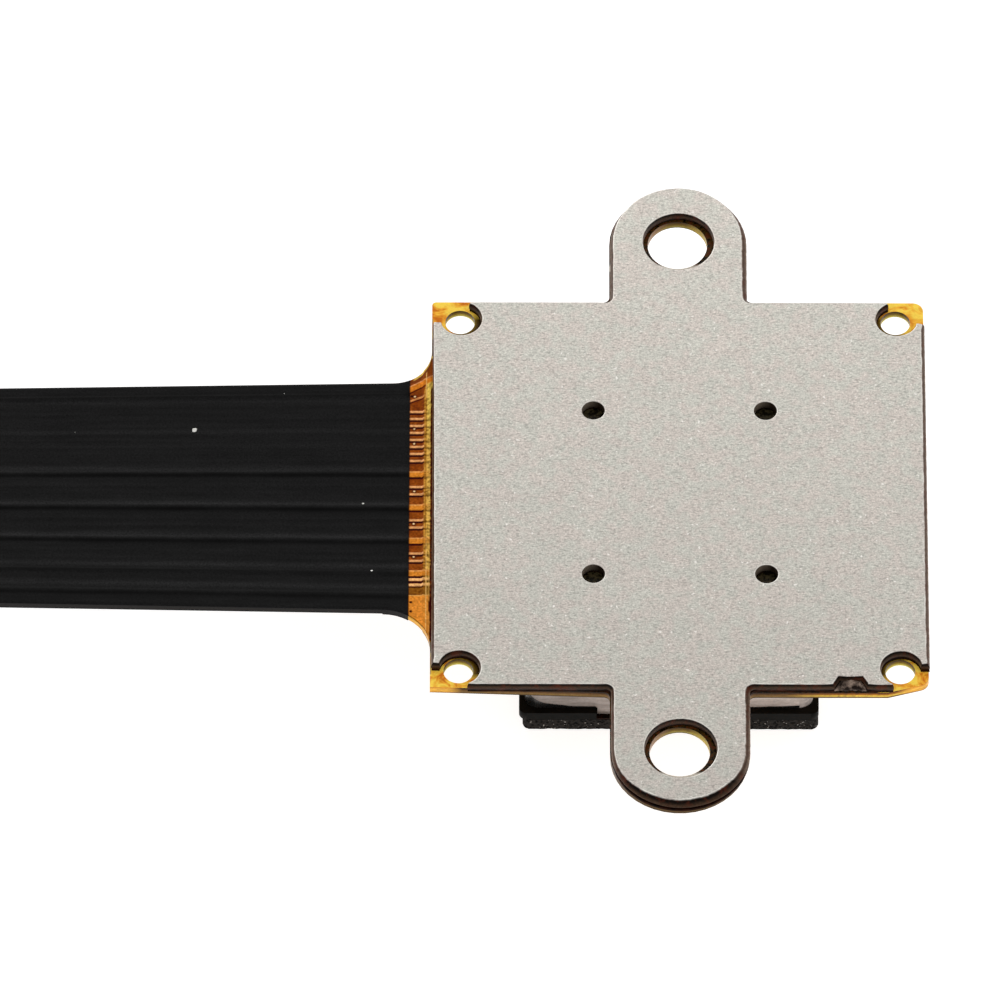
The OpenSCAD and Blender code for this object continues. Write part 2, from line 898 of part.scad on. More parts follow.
// Beads of glue that lie on the flange against the can
module can_glue() {
    wall_y = can_wid / 2;
    wall_x = can_len / 2;
    corner_h = 0.62;
    low_h = 0.05;
    free = wall_x - tongue_wid / 2 - tongue_gap;
    color(black)
        translate([0, 0, z_can]) {
            // Near wall, high at the left corner
            translate([-tongue_wid / 2 - tongue_gap, -wall_y, 0])
                rotate([90, 0, 0])
                    linear_extrude(glue_bead)
                        polygon([
                            [0, 0],
                            [0, low_h],
                            [-free * 0.4, low_h * 2],
                            [-free * 0.82, corner_h / 3],
                            [-free * 0.96, corner_h],
                            [-free - glue_bead, corner_h],
                            [-free - glue_bead, 0]
                        ]);
            // Near wall, to the right of the tongue
            translate([tongue_wid / 2 + tongue_gap, -wall_y, 0])
                rotate([90, 0, 0])
                    linear_extrude(glue_bead)
                        polygon([[0, 0], [free, 0], [free, low_h * 2], [free * 0.4, low_h], [0, low_h]]);
            // Left wall, falling away from the near corner
            translate([-wall_x, -wall_y, 0])
                rotate([90, 0, -90])
                    linear_extrude(glue_bead)
                        polygon([
                            [0, 0],
                            [-can_wid / 2, 0],
                            [-can_wid / 2, low_h],
                            [-can_wid / 5, low_h * 2],
                            [-can_corner_r, corner_h],
                            [0, corner_h]
                        ]);
            // Far wall, on both sides of the tongue
            for (side = [-1, 1])
                scale([side, 1, 1])
                    translate([tongue_wid / 2 + tongue_gap, wall_y, 0])
                        cube([free - can_corner_r, glue_bead, low_h * 2]);
        }
}

// Solder fillets between the can and the flex circuit
module can_solder() {
    leg = 0.22;
    fillet_len = 1.4;
    color(tin)
        for (side = [-1, 1], k = [-1, 1]) {
            scale([side, 1, 1])
                translate([can_len / 2, k * can_wid / 4 + fillet_len / 2, z_flex])
                    rotate([90, 0, 0])
                        linear_extrude(fillet_len)
                            polygon([[0, 0], [leg, 0], [0, -leg]]);
            scale([1, side, 1])
                translate([k * can_len / 4 - fillet_len / 2, can_wid / 2, z_flex])
                    rotate([90, 0, 90])
                        linear_extrude(fillet_len)
                            polygon([[0, 0], [leg, 0], [0, -leg]]);
        }
}

// ---- Filter and sensor ----

module ir_filter() {
    color(glass)
        translate([0, 0, z_filter])
            linear_extrude(filter_t)
                square([filter_len, filter_wid], center = true);
}

// Four drops that hold the filter in its pocket
module filter_glue() {
    drop_len = 0.8;
    color([0.85, 0.85, 0.8])
        for (side = [-1, 1]) {
            translate([side * (filter_len / 2 + filter_gap / 2), 0, z_filter + filter_t / 2])
                cube([filter_gap, drop_len, filter_t], center = true);
            translate([0, side * (filter_wid / 2 + filter_gap / 2), z_filter + filter_t / 2])
                cube([drop_len, filter_gap, filter_t], center = true);
        }
}

module image_sensor() {
    color([0.25, 0.27, 0.32])
        translate([0, 0, z_die])
            linear_extrude(die_t)
                square([die_len, die_wid], center = true);
}

module pixel_array() {
    color([0.3, 0.2, 0.35])
        translate([0, 0, z_die - pixel_t])
            linear_extrude(pixel_t)
                square([die_len - 2 * pixel_margin, die_wid - 2 * pixel_margin], center = true);
}

module die_bond() {
    color([0.8, 0.8, 0.75])
        translate([0, 0, z_flex - die_bond_t])
            linear_extrude(die_bond_t)
                square([die_len, die_wid], center = true);
}

// One wire in side view: from the die's face over its edge to the flex circuit
module wire_side() {
    rise = 0.1;
    inset = 0.15;
    reach = 0.3;
    top = die_t + die_bond_t;
    polygon([
        [-inset, top],
        [-inset, top + rise],
        [reach, top + rise],
        [reach, 0],
        [reach - wire_t, 0],
        [reach - wire_t, top + rise - wire_t],
        [-inset + wire_t, top + rise - wire_t],
        [-inset + wire_t, top]
    ]);
}

module bond_wires() {
    pitch = (die_len - 2 * pixel_margin) / (wire_n - 1);
    color(gold)
        for (side = [-1, 1], i = [0:wire_n - 1])
            scale([1, side, 1])
                translate([(i - (wire_n - 1) / 2) * pitch - wire_t / 2, die_wid / 2, z_flex])
                    rotate([90, 0, 90])
                        linear_extrude(wire_t)
                            scale([1, -1])
                                wire_side();
}

// ---- Lens ----

// Radius of the sphere that rises by sag over a circle of radius a
function cap_radius(a, sag) = (a * a + sag * sag) / (2 * sag);

// The cap of a sphere that rises by sag from z = 0, over a circle of radius a
module cap(a, sag) {
    r = cap_radius(a, sag);
    intersection() {
        translate([0, 0, sag - r])
            sphere(r, $fn = 96);
        cylinder(h = sag, r = a);
    }
}

// An element of radius r and thickness t with its front face at z = 0.
// A positive sag bulges out of a face by that much, and a negative one hollows it.
module element(r, t, front_a, front_sag, back_a, back_sag) {
    color(glass)
        difference() {
            union() {
                cylinder(h = t, r = r);
                if (front_sag > 0)
                    scale([1, 1, -1])
                        cap(front_a, front_sag);
                if (back_sag > 0)
                    translate([0, 0, t])
                        cap(back_a, back_sag);
            }
            if (front_sag < 0)
                cap(front_a, -front_sag);
            if (back_sag < 0)
                translate([0, 0, t])
                    scale([1, 1, -1])
                        cap(back_a, -back_sag);
        }
}

module lens_element_1() {
    translate([0, 0, z_lens_1])
        element(front_lens_r, lens_1_t, stop_r, 0.2, stop_r * 0.8, -0.15);
}

module lens_element_2() {
    translate([0, 0, z_lens_2])
        element(front_lens_r, lens_2_t, stop_r, -0.06, stop_r * 1.1, 0.14);
}

module lens_element_3() {
    translate([0, 0, z_lens_3])
        element(mid_lens_r, lens_3_t, stop_r * 1.15, -0.18, stop_r * 1.3, 0.22);
}

module lens_element_4() {
    translate([0, 0, z_lens_4])
        element(rear_lens_r, lens_4_t, stop_r * 1.4, -0.3, stop_r * 1.6, 0.12);
}

module ring(r_out, r_in, t) {
    linear_extrude(t)
        difference() {
            circle(r_out);
            circle(r_in);
        }
}

module baffle_front() {
    color(black)
        translate([0, 0, z_baffle_1])
            ring(front_lens_r, stop_r, baffle_t);
}

module lens_spacer() {
    color(black)
        translate([0, 0, z_spacer])
            ring(mid_lens_r, stop_r * 1.3, spacer_t);
}

module baffle_rear() {
    color(black)
        translate([0, 0, z_baffle_2])
            ring(rear_lens_r, stop_r * 1.45, baffle_t);
}

module lens_retainer() {
    color(black)
        translate([0, 0, z_retainer])
            ring(rear_lens_r, stop_r * 1.75, retainer_t);
}

module lens_barrel() {
    rim = 0.22;
    notch = 0.45;
    color(black)
        translate([0, 0, barrel_front])
            difference() {
                cylinder(h = barrel_len, r = barrel_r);
                // Mouth, from its rim down to the stop
                translate([0, 0, -past / 2])
                    cylinder(h = seat_1 + past, r = stop_r);
                rotate_extrude()
                    polygon([
                        [0, -past],
                        [mouth_r + past, -past],
                        [mouth_r, 0],
                        [stop_r, seat_1 - rim / 2],
                        [0, seat_1 - rim / 2]
                    ]);
                // Stepped bore for the elements
                translate([0, 0, seat_1])
                    cylinder(h = z_spacer - z_lens_1, r = front_lens_r + lens_gap);
                translate([0, 0, z_spacer - barrel_front])
                    cylinder(h = z_baffle_2 - z_spacer, r = mid_lens_r + lens_gap);
                translate([0, 0, z_baffle_2 - barrel_front])
                    cylinder(h = barrel_len, r = rear_lens_r + lens_gap);
                // Wrench notches in the rim
                for (i = [0:wrench_n - 1])
                    rotate([0, 0, 360 / wrench_n * (i + 0.5)])
                        translate([barrel_r - rim, -notch / 2, -past])
                            cube([rim + past, notch, rim + past]);
            }
}

// Dabs of glue that lock the barrel in the holder
module barrel_glue() {
    dab_n = 3;
    dab_angle = 24;
    dab_wid = 0.34;
    dab_h = 0.14;
    color([0.85, 0.8, 0.7])
        for (i = [0:dab_n - 1])
            rotate([0, 0, 360 / dab_n * i + 90 - dab_angle / 2])
                translate([0, 0, z_holder])
                    rotate_extrude(angle = dab_angle)
                        polygon([[barrel_r, 0], [barrel_bore_r + dab_wid, 0], [barrel_r, -dab_h]]);
}

// ---- Parts round the can ----

// Right of the can, and beyond its far wall
x_beside = (can_len / 2 + head_x + head_len / 2) / 2;
y_beside = (can_wid + head_wid) / 4;
cap_step = cap_len + 0.6;

// Places its children at each capacitor, which lies along X
module at_capacitors() {
    for (i = [0:2])
        translate([x_beside, -can_wid / 2 + cap_len + i * cap_step, z_flex])
            rotate([0, 0, 90])
                children();
    for (i = [0:3])
        translate([-can_len / 2 + cap_len + i * cap_step, y_beside, z_flex])
            children();
}

module capacitor_bodies() {
    body_len = cap_len - 2 * cap_end;
    color(ceramic)
        at_capacitors()
            translate([-body_len / 2, -cap_wid / 2, -cap_wid])
                cube([body_len, cap_wid, cap_wid]);
}

module capacitor_ends() {
    color(tin)
        at_capacitors()
            for (side = [-1, 1])
                scale([side, 1, 1])
                    translate([cap_len / 2 - cap_end, -cap_wid / 2, -cap_wid])
                        cube([cap_end, cap_wid, cap_wid]);
}

module chip(len, wid) {
    translate([-len / 2, -wid / 2, -chip_h])
        cube([len, wid, chip_h]);
}

module memory_chip() {
    color([0.15, 0.15, 0.16])
        translate([x_beside, can_wid / 4 + memory_len / 4, z_flex])
            chip(memory_len, memory_len);
}

module voltage_regulator() {
    color([0.15, 0.15, 0.16])
        translate([-can_len / 4, -y_beside, z_flex])
            chip(regulator_len, regulator_len * 0.8);
}

back_stiffener();
stiffener_bond();
flex_circuit();
bare_conductors();
shield_film_back();
shield_film_front();
land_stiffener();
land_bond();
plug_housing();
plug_contacts();
plug_anchors();
front_gasket();
gasket_bond();
lens_holder();
holder_bond();
shield_can();
can_glue();
can_solder();
ir_filter();
filter_glue();
image_sensor();
pixel_array();
die_bond();
bond_wires();
lens_barrel();
barrel_glue();
lens_element_1();
lens_element_2();
lens_element_3();
lens_element_4();
baffle_front();
lens_spacer();
baffle_rear();
lens_retainer();
capacitor_bodies();
capacitor_ends();
memory_chip();
voltage_regulator();
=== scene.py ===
"""Looks of the camera module: its materials, and the pieces that the plain solids can't show."""
import math

import bpy
import numpy as np
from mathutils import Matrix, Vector
from mathutils.geometry import delaunay_2d_cdt


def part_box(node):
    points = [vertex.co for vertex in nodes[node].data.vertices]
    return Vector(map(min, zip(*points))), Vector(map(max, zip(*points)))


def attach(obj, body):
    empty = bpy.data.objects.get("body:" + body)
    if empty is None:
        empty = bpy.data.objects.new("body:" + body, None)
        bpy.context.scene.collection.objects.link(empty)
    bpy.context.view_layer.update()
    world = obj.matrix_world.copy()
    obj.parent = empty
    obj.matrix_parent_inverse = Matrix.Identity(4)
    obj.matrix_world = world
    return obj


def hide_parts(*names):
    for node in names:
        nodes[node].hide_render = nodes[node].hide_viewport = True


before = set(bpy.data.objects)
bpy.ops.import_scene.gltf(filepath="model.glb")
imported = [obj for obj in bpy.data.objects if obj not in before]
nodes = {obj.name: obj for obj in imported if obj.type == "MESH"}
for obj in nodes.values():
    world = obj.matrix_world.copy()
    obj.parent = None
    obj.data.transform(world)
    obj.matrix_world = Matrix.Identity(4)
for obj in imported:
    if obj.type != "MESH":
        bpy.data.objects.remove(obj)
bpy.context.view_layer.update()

scene = bpy.context.scene
MM = 0.001


# ---- Places, in millimetres ----

def box_mm(node):
    low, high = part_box(node)
    return np.array(low) / MM, np.array(high) / MM


def points_mm(node):
    co = np.empty(len(nodes[node].data.vertices) * 3)
    nodes[node].data.vertices.foreach_get("co", co)
    return co.reshape(-1, 3) / MM


steel_low, steel_high = box_mm("back_stiffener")
film_low, film_high = box_mm("shield_film_back")
flex_high = box_mm("flex_circuit")[1]
bond_low = box_mm("stiffener_bond")[0]
can_high = box_mm("shield_can")[1]
gasket_low, gasket_high = box_mm("front_gasket")
plate_mid = (steel_low + steel_high) / 2
z_flex_top = flex_high[2]

PANEL_X = -6.75                         # where the flex circuit's head begins, at the tail's side
HEAD_X = (flex_high[0] + PANEL_X) / 2   # middle of the head
FLEX_THICK = 0.25
FILM_THICK = 0.04
CORNER_HOLE = 6.2                       # holes in the head's corners, from its middle along X and along Y
CORNER_R = 0.42
EAR_HOLE = 9.0                          # ear holes, from the head's middle along Y
TOOL_HOLE = (2.44, 2.9)                 # tooling holes, from the plate's middle


# ---- Camera and light ----

def srgb(r, g, b):
    """A colour in 0 to 255, as the linear values that a shader takes."""
    out = []
    for v in (r, g, b):
        v /= 255.0
        out.append(v / 12.92 if v <= 0.04045 else ((v + 0.055) / 1.055) ** 2.4)
    return (*out, 1.0)


def aim(name, data, place, way):
    """A camera or lamp at that place, in metres, looking along the way."""
    thing = bpy.data.objects.new(name, data)
    thing.location = place
    thing.rotation_mode = "QUATERNION"
    thing.rotation_quaternion = Vector(way).to_track_quat("-Z", "Y")
    scene.collection.objects.link(thing)
    return thing


def make_camera():
    elevation, azimuth = math.radians(52.71), math.radians(0.15)
    distance, right_shift, up_shift = 480.1, -5.078, -0.233
    sa, ca, se, ce = math.sin(azimuth), math.cos(azimuth), math.sin(elevation), math.cos(elevation)
    right = Vector((ca, sa, 0))
    up = Vector((-sa * se, ca * se, ce))
    forward = Vector((-sa * ce, ca * ce, -se))
    target = Vector((plate_mid[0], plate_mid[1], steel_high[2]))
    data = bpy.data.cameras.new("camera")
    data.sensor_width, data.lens = 36, 611.6
    data.clip_start, data.clip_end = 0.05, 5
    place = target + right_shift * right + up_shift * up - distance * forward
    scene.camera = aim("camera", data, place * MM, forward)


def make_light():
    scene.view_settings.view_transform = "Standard"
    scene.view_settings.look = "None"
    world = bpy.data.worlds.new("studio")
    world.use_nodes = True
    back = world.node_tree.nodes["Background"]
    back.inputs["Color"].default_value = (1.0, 0.99, 0.98, 1)
    back.inputs["Strength"].default_value = 0.95
    scene.world = world
    # Places and sizes are in metres, and the power is in watts
    for name, place, size, power in [
        ("key", (-0.16, 0.34, 0.17), 0.16, 0.22),
        ("fill", (0.25, -0.20, 0.30), 0.25, 0.06),
    ]:
        data = bpy.data.lights.new(name, "AREA")
        data.shape, data.size, data.energy = "SQUARE", size, power
        data.color = (1.0, 0.99, 0.97)
        aim(name, data, place, -Vector(place))


# ---- Meshes ----

def mesh_piece(name, verts, faces, material, edge_angle=None):
    """A new smooth piece from points in millimetres, with sharp edges where it turns past that angle."""
    mesh = bpy.data.meshes.new(name)
    mesh.from_pydata([tuple(float(c) * MM for c in v) for v in verts], [], faces)
    mesh.validate()
    mesh.materials.append(material)
    piece = bpy.data.objects.new(name, mesh)
    scene.collection.objects.link(piece)
    for poly in mesh.polygons:
        poly.use_smooth = True
    if edge_angle is not None:
        mesh.set_sharp_from_angle(angle=math.radians(edge_angle))
    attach(piece, "root")
    return piece


def band(first, second, count):
    """Faces between two closed rings of points, which begin at these numbers."""
    faces = []
    for j in range(count):
        k = (j + 1) % count
        faces.append((first + j, first + k, second + k, second + j))
    return faces


def add_part(verts, faces, part_verts, part_faces):
    """Adds a part's points and faces to those of a piece."""
    faces += [tuple(i + len(verts) for i in face) for face in part_faces]
    verts += [tuple(point) for point in part_verts]


def slab(x, y, top, bottom):
    """A closed sheet over the places x and y, between two heights. Arrays have rows and columns."""
    grids = [np.dstack(np.broadcast_arrays(x, y, z)) for z in (top, bottom)]
    return closed(*grids)


def closed(top, bottom):
    """A closed sheet between two grids of points, given as arrays of rows, columns and xyz."""
    rows, cols = top.shape[:2]
    n = rows * cols
    ids = np.arange(n).reshape(rows, cols)
    quads = np.stack([ids[:-1, :-1], ids[:-1, 1:], ids[1:, 1:], ids[1:, :-1]], -1).reshape(-1, 4)
    faces = quads.tolist() + (quads[:, ::-1] + n).tolist()
    for a, b in zip(range(0, n - cols, cols), range(cols, n, cols)):
        faces += [(a, b, b + n, a + n), (b + cols - 1, a + cols - 1, a + cols - 1 + n, b + cols - 1 + n)]
    for a, b in zip(range(cols - 1), range(n - cols, n - 1)):
        faces += [(a + 1, a, a + n, a + 1 + n), (b, b + 1, b + 1 + n, b + n)]
    return np.concatenate([top.reshape(-1, 3), bottom.reshape(-1, 3)]), faces


def value_noise(x, y, size, seed):
    """Smooth noise from -1 to 1 with cells of that size, for the shapes of pieces."""
    table = np.random.default_rng(seed).uniform(-1, 1, (256, 256))
    u, v = np.asarray(x) / size, np.asarray(y) / size
    i, j = np.floor(u).astype(int), np.floor(v).astype(int)
    fu, fv = u - i, v - j
    fu, fv = fu * fu * (3 - 2 * fu), fv * fv * (3 - 2 * fv)
    at = lambda a, b: table[a % 256, b % 256]
    low = at(i, j) * (1 - fu) + at(i + 1, j) * fu
    high = at(i, j + 1) * (1 - fu) + at(i + 1, j + 1) * fu
    return low * (1 - fv) + high * fv


def unit_noise(x, y, size, seed):
    """The same noise from 0 to 1."""
    return 0.5 + 0.5 * value_noise(x, y, size, seed)


def paint(piece, colours):
    """Gives each vertex its own linear colour, as the attribute that the material reads."""
    layer = piece.data.color_attributes.new("paint", "FLOAT_COLOR", "POINT")
    rgba = np.ones((len(piece.data.vertices), 4), np.float32)
    rgba[:, :3] = colours
    layer.data.foreach_set("color", rgba.ravel())


# ---- Materials ----

class Graph:
    """The nodes of one material, from small calls that take sockets, numbers and colours in 0 to 255."""

    def __init__(self, name):
        self.material = bpy.data.materials.new(name)
        self.material.use_nodes = True
        self.tree = self.material.node_tree
        self.tree.nodes.clear()
        self.mm = self.vector("MULTIPLY", self.add("TexCoord", {}, "Object"), (1000, 1000, 1000))
        self.x, self.y, self.z = self.split("XYZ", self.mm)

    def put(self, socket, value):
        if isinstance(value, bpy.types.NodeSocket):
            self.tree.links.new(value, socket)
        elif value is not None:
            if socket.type == "RGBA":
                value = srgb(*value) if hasattr(value, "__len__") else (value, value, value, 1)
            socket.default_value = value

    def node(self, kind, inputs, **props):
        node = self.tree.nodes.new("ShaderNode" + kind)
        for key, value in props.items():
            setattr(node, key, value)
        for key, value in inputs.items():
            self.put(node.inputs[key], value)
        return node

    def add(self, kind, inputs, output=0, **props):
        return self.node(kind, inputs, **props).outputs[output]

    def split(self, kind, value):
        return self.node("Separate" + kind, {0: value}).outputs[:3]

    def normal(self, letter):
        return self.split("XYZ", self.add("NewGeometry", {}, "Normal"))["XYZ".index(letter)]

    def painted(self):
        return self.add("VertexColor", {}, layer_name="paint")

    def vector(self, operation, a, b):
        return self.add("VectorMath", {0: a, 1: b}, operation=operation)

    def math(self, operation, a, b=None, clamp=False):
        return self.add("Math", {0: a, 1: b}, operation=operation, use_clamp=clamp)

    def times(self, a, b):
        return self.math("MULTIPLY", a, b)

    def plus(self, a, b):
        return self.math("ADD", a, b)

    def minus(self, a, b):
        return self.math("SUBTRACT", a, b)

    def size(self, value):
        return self.math("ABSOLUTE", value)

    def away(self, value, middle):
        """Distance of a value from the middle, on either side."""
        return self.size(self.minus(value, middle))

    def reach(self, a, b):
        """Distance of a point from the place where both values are 0."""
        return self.math("SQRT", self.plus(self.times(a, a), self.times(b, b)))

    def noise(self, scale, detail=2, rough=0.5, stretch=None, distortion=0):
        at = self.mm if stretch is None else self.vector("MULTIPLY", self.mm, stretch)
        return self.add("TexNoise", {"Vector": at, "Scale": scale, "Detail": detail, "Roughness": rough,
                                     "Distortion": distortion})

    def ramp(self, value, *stops):
        node = self.node("ValToRGB", {0: value})
        ramp = node.color_ramp
        while len(ramp.elements) < len(stops):
            ramp.elements.new(0.5)
        for element, (place, colour) in zip(ramp.elements, stops):
            element.position = place
            element.color = srgb(*colour)
        return node.outputs[0]

    def span(self, value, low, high, to_low=0.0, to_high=1.0):
        return self.add("MapRange", {"Value": value, "From Min": low, "From Max": high, "To Min": to_low,
                                     "To Max": to_high})

    def below(self, value, low, high):
        """1 below the two limits and 0 above them."""
        return self.span(value, low, high, 1, 0)

    def vary(self, noise, low, high):
        """From low to high with a noise, whose values lie mostly between 0.3 and 0.7."""
        return self.span(noise, 0.3, 0.7, low, high)

    def mix(self, share, a, b, blend="MIX"):
        return self.add("Mix", {0: share, 6: a, 7: b}, 2, data_type="RGBA", blend_type=blend)

    def tint(self, colour, value, low, high):
        """The colour made darker or lighter by the value, from low to high times."""
        return self.mix(1.0, colour, self.span(value, 0, 1, low, high), "MULTIPLY")

    def bump(self, height, distance, strength):
        return self.add("Bump", {"Strength": strength, "Distance": distance * MM, "Height": height})

    def finish(self, colour, rough, specular, normal=None, **more):
        sockets = {key.replace("_", " "): value for key, value in more.items()}
        shader = self.add("BsdfPrincipled", {"Base Color": colour, "Roughness": rough, "Normal": normal,
                                             "Specular IOR Level": specular, **sockets})
        self.node("OutputMaterial", {0: shader})
        return self.material


def steel_wall(g, grain, depth, torn):
    """Cut edge: painted shade where it faces the near side, painted light on the walls in the tooling holes,
    rough grey where it is torn.
    """
    rust = g.noise(3.4, 3, 0.65)
    strata = g.noise(1.0, 3, 0.7, (8.0, 8.0, 26.0))
    # Down the wall the lighter bands are painted reflection
    wall = g.ramp(depth, (0.0, (116, 98, 86)), (0.22, (70, 52, 42)), (0.5, (122, 104, 90)),
                  (0.72, (80, 60, 48)), (1.0, (24, 10, 4)))
    # Painted shade: walls that face the near side take this darker copy of the wall's colours
    near = g.ramp(depth, (0.0, (24, 14, 10)), (0.22, (6, 2, 0)), (0.5, (66, 49, 36)),
                  (0.8, (38, 20, 10)), (1.0, (8, 2, 0)))
    wall = g.mix(g.span(g.normal("Y"), -0.5, -0.15), near, wall)
    wall = g.tint(wall, g.times(g.plus(strata, grain), 0.5), -0.6, 2.6)
    wall = g.mix(g.times(g.span(rust, 0.5, 0.66), 0.6), wall, (80, 34, 18))
    tool = g.times(g.below(g.away(g.x, plate_mid[0]), 3.2, 3.4), g.below(g.away(g.y, plate_mid[1]), 3.6, 3.8))
    lit = g.mix(g.span(g.normal("X"), -0.5, 0.6), (40, 32, 24), (128, 116, 102))
    wall = g.mix(g.times(tool, g.span(depth, 0.75, 1.0, 0.85, 0.3)), wall, lit)
    stub = g.mix(g.span(rust, 0.40, 0.60), (30, 21, 17), (138, 120, 108))
    stub = g.mix(g.span(depth, 0.45, 0.9), stub, (8, 4, 2))
    return g.mix(torn, wall, g.tint(stub, grain, 0.2, 1.8))


def make_steel():
    """Rolled sheet. The paint says how far over the edge a place lies, how deep, and where it is torn."""
    g = Graph("rolled_steel")
    edge, depth, torn = g.split("Color", g.painted())
    grain = g.noise(19.0, 2, 0.8)
    dashes = g.noise(1.0, 1, 0.5, (8.0, 22.0, 1.0))
    patches = g.noise(2.2, 2, 0.6)
    face = g.mix(g.span(patches, 0.40, 0.60), (205, 198, 191), (201, 200, 192))
    face = g.tint(face, grain, 0.34, 1.66)
    face = g.tint(face, g.span(dashes, 0.30, 0.46), 0.76, 1.03)
    face = g.tint(face, g.span(dashes, 0.56, 0.70), 1.0, 1.10)
    face = g.tint(face, g.noise(0.7), 0.98, 1.02)
    # Painted light: the face is lighter towards the far side and the right, darker towards the near left
    face = g.tint(face, g.span(g.plus(g.y, g.times(g.x, 0.2)), -11, 11), 0.83, 1.05)
    flecks = g.span(g.noise(9.0, 1), 0.70, 0.76)
    face = g.mix(g.times(flecks, 0.7), face, (246, 243, 238))
    down = g.span(edge, 0.42, 0.85)
    base = g.mix(down, face, steel_wall(g, grain, depth, torn))
    # Painted highlight: a bright, broken line along the face's edge, where the burr catches the light
    burr_highlight = g.math("SUBTRACT", 1.0, g.times(g.away(edge, 0.3), 3.4), clamp=True)
    burr_highlight = g.times(burr_highlight, g.span(patches, 0.38, 0.58))
    base = g.mix(g.times(burr_highlight, 0.85), base, (240, 236, 230))
    relief = g.bump(g.plus(g.times(dashes, 0.6), grain), 0.006, 0.5)
    metal = g.span(down, 0, 1, 0.9, 0.35)
    return g.finish(base, g.vary(grain, 0.40, 0.55), 0.07, relief, Metallic=metal)


def make_film(name, painted):
    """Satin black film. A painted piece carries painted light and shade along the conductors that lie under
    it.
    """
    g = Graph(name)
    fine = g.noise(18.0, 2, 0.9)
    along = g.noise(1.0, 3, 0.55, (0.25, 7.0, 2.0))
    base = g.painted() if painted else (20, 20, 21)
    base = g.tint(base, g.span(along, 0.35, 0.7), 0.85, 1.15)
    base = g.tint(base, g.span(fine, 0.25, 0.75), 0.3, 1.6)
    relief = g.bump(g.plus(fine, g.times(along, 1.5)), 0.004, 0.5)
    return g.finish(base, g.vary(g.noise(0.35), 0.38, 0.5), 0.045, relief)


def amber_face(g, from_x, from_y, specks, grit):
    """Flat faces: calm amber, but vivid in the head's open corners and dark in the plate's shade."""
    blobs = g.noise(2.2, 3, 0.6, distortion=0.8)
    calm = g.tint(g.mix(g.span(blobs, 0.35, 0.65), (204, 134, 44), (226, 166, 66)), specks, 0.9, 1.1)
    vivid = g.ramp(blobs, (0.36, (204, 112, 24)), (0.45, (236, 168, 50)), (0.56, (248, 210, 80)))
    vivid = g.tint(vivid, specks, 0.8, 1.15)
    out_x, out_y = g.minus(from_x, CORNER_HOLE), g.minus(from_y, CORNER_HOLE)
    # Painted shade: round each corner hole, the ledge under the steel's arc, light at the hole's rim and near
    # black further in
    painted_ledge_shade = g.ramp(g.span(g.reach(out_x, out_y), 0.40, 0.60), (0.0, (140, 116, 34)), (0.4, (88, 64, 12)),
                   (1.0, (22, 9, 1)))
    painted_ledge_shade = g.tint(painted_ledge_shade, grit, 0.3, 1.7)
    shaded = g.ramp(specks, (0.40, (20, 10, 3)), (0.5, (66, 48, 16)), (0.6, (84, 40, 16)))
    shaded = g.tint(shaded, grit, 0.4, 1.6)
    # The near rim of each ear hole catches the light
    lip = g.times(g.math("SIGN", g.y), g.minus(from_y, EAR_HOLE))
    shaded = g.mix(g.times(g.span(lip, -0.68, -0.78), g.span(lip, -0.98, -0.92)), shaded, (206, 198, 184))
    in_corner = g.times(g.span(out_x, -0.66, -0.60), g.span(out_y, -0.66, -0.60))
    bare = g.span(g.math("MAXIMUM", out_x, out_y), 0.08, 0.30)
    head = g.mix(in_corner, shaded, g.mix(bare, painted_ledge_shade, vivid))
    on_head = g.times(g.span(g.x, PANEL_X - 0.01, PANEL_X + 0.01), g.span(g.normal("Z"), 0.35, 0.9))
    face = g.mix(on_head, calm, head)
    # The floor of each tooling hole is painted dark, as shade
    off_x = g.minus(g.away(g.x, plate_mid[0]), TOOL_HOLE[0])
    off_y = g.minus(g.away(g.y, plate_mid[1]), TOOL_HOLE[1])
    tooling_hole_shade = g.mix(g.span(specks, 0.4, 0.6), (16, 13, 6), (64, 56, 36))
    return g.mix(g.span(g.reach(off_x, off_y), 0.42, 0.5), tooling_hole_shade, face)


